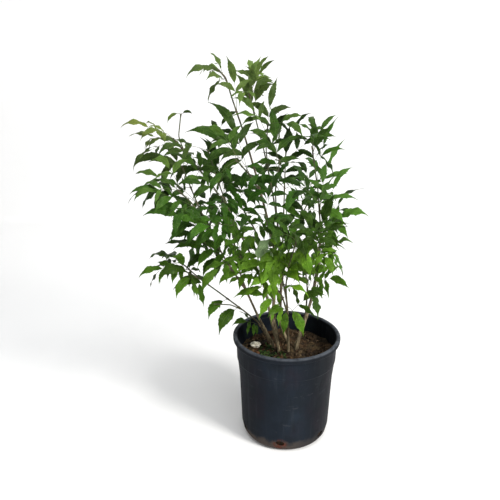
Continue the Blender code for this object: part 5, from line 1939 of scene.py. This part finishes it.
def stalk_material():
    material, tree, shader, place = new_material("leaf_stalk", Roughness=0.5, Specular_IOR_Level=0.3)
    share, _, _ = split(tree, add_node(tree, "ShaderNodeUVMap", uv_map="UVMap").outputs[0])
    red = blotches(tree, place, 60.0, 0.50, 0.70, share=0.5)
    connect(tree, shader, Base_Color=layered(tree, STALK_BROWN, (share, STALK_GREEN), (red, STALK_RED)))
    raised(tree, shader, blotches(tree, place, 500.0, 0.3, 0.7), 0.0003)
    return material


BENT = bend_tree()
leaflet_patterns = pattern_collection("leaflet", [leaflet_pattern(n) for n in range(PATTERN_VARIANTS)])
stalk_patterns = pattern_collection("stalk", [stalk_pattern()])
leaf_finish = leaf_material()
stalk_finish = stalk_material()
toning = random.Random(TONE_SEED)
for stem, found in leaves.items():
    blades, stalks = [], []
    for leaf in found:
        tone = leaf_tone(leaf.stalk.point(1.0), toning)
        stalks.append(guide(leaf.stalk, leaf.right, STALK_GIRTH, tone, 0))
        for arc, _, side, right in leaf.leaflets:
            shade = PALE if is_pale(arc) else tone * toning.uniform(*SHADES)
            young = leaf.stalk.length < YOUNG_STALK and not side
            arc, right = filled_out(leaf, arc, side, right)
            slimmer = SLIMMER_HIGH * way_to(arc.start.z, *SLIMMER_ZONE)
            girth = arc.length * toning.uniform(*GIRTHS) * (1.0 - slimmer)
            girth *= PALE_WIDER if shade is PALE else YOUNG_WIDER if young else leaf.slimness
            arc, right = more_arched(arc, right, toning.uniform(*RISES))
            right = Matrix.Rotation(toning.uniform(*ROLLS), 3, arc.direction(0.0)) @ right
            blades.append(guide(arc, right, girth, shade, toning.randrange(PATTERN_VARIANTS)))
    node = "leafy_stem_" + stem
    for kind, guides, patterns, finish in (
        ("leaves_", blades, leaflet_patterns, leaf_finish),
        ("leaf_stalks_", stalks, stalk_patterns, stalk_finish),
    ):
        finished(kind + stem, bent(guides, patterns, finish), finish, [node], 60)
for stem, found in leaves.items():
    lines = shoot_lines(SHOOTS[stem], [leaf.stalk.start for leaf in found])
    tubes = grown_mesh(lines, SWEPT, Sides=TUBE_SIDES, Roughness=BARK_ROUGHNESS, Finish=wood_finish)
    finished("shoots_" + stem, tubes, wood_finish, ["leafy_stem_" + stem], 50)


# Floor, light and camera
# A white paper sweep in soft daylight from above and from the right, and a camera a little above the
# crown, which looks down on it.

CAMERA_PLACE = (-0.0867, -1.2741, 0.9241)
CAMERA_TILT = math.radians(70.357)
CAMERA_LENS = 43.2
CAMERA_SENSOR = 36.0
SWEEP = [(-3.0, 0.0), (1.2, 0.0), (1.7, 0.10), (2.0, 0.40), (2.1, 0.90), (2.1, 3.2)]
SWEEP_HALF = 4.0
SWEEP_STEP = 0.15
PAPER = (0.90, 0.90, 0.90)
PAPER_LIGHT = (0.92, 0.92, 0.92)
PAPER_GLOW = 0.12
GLOW_NEAR = (0.36, 0.36, 0.36)
GLOW_FAR = (1.0, 1.0, 1.0)
GLOW_REACH = (0.50, 1.10)
SKY_STRENGTH = 0.38
LIT_PLACE = (0.0, 0.0, 0.4)
# Each light's place, size, power and colour.
LIGHTS = {
    "daylight": ((1.7, -1.5, 1.9), 0.8, 78.0, (1.0, 0.98, 0.94)),
    "overhead": ((0.0, -0.8, 3.0), 2.2, 44.0, (0.96, 0.98, 1.0)),
}


def sweep_mesh():
    """The paper: flat under the pot, then curving up behind it."""
    line = smooth_route([Vector((0.0, y, z)) for y, z in SWEEP], SWEEP_STEP)
    mesh = bpy.data.meshes.new("paper_sweep")
    points = [(side * SWEEP_HALF, p.y, max(0.0, p.z)) for p in line for side in (-1, 1)]
    mesh.from_pydata(points, [], [(2 * i, 2 * i + 1, 2 * i + 3, 2 * i + 2) for i in range(len(line) - 1)])
    mesh.shade_smooth()
    return mesh


def paper_material():
    """White paper that glows a little, less so near the pot, where its shadow falls."""
    material, tree, shader, place = new_material(
        "paper", Roughness=0.9, Specular_IOR_Level=0.1, Emission_Strength=PAPER_GLOW)
    away = ramp(tree, vector_maths(tree, "LENGTH", place), *GLOW_REACH)
    colour = mixed(tree, blotches(tree, place, 3.0, 0.3, 0.7), PAPER, PAPER_LIGHT)
    connect(tree, shader, Base_Color=colour, Emission_Color=mixed(tree, away, GLOW_NEAR, GLOW_FAR))
    return material


sweep = new_object("paper_sweep", sweep_mesh())
sweep.data.materials.append(paper_material())

world = bpy.data.worlds.new("studio")
world.use_nodes = True
world.node_tree.nodes["Background"].inputs["Color"].default_value = (1.0, 1.0, 1.0, 1.0)
world.node_tree.nodes["Background"].inputs["Strength"].default_value = SKY_STRENGTH
bpy.context.scene.world = world
bpy.context.scene.view_settings.view_transform = "Standard"

for name, (place, size, power, colour) in LIGHTS.items():
    light = bpy.data.lights.new(name, "AREA")
    light.shape = "DISK"
    light.size = size
    light.energy = power
    light.color = colour
    lamp = new_object(name, light)
    lamp.location = place
    lamp.rotation_euler = (Vector(LIT_PLACE) - Vector(place)).to_track_quat("-Z", "Y").to_euler()

camera_data = bpy.data.cameras.new("camera")
camera_data.lens = CAMERA_LENS
camera_data.sensor_width = CAMERA_SENSOR
camera = new_object("camera", camera_data)
camera.location = CAMERA_PLACE
camera.rotation_euler = (CAMERA_TILT, 0.0, 0.0)
bpy.context.scene.camera = camera
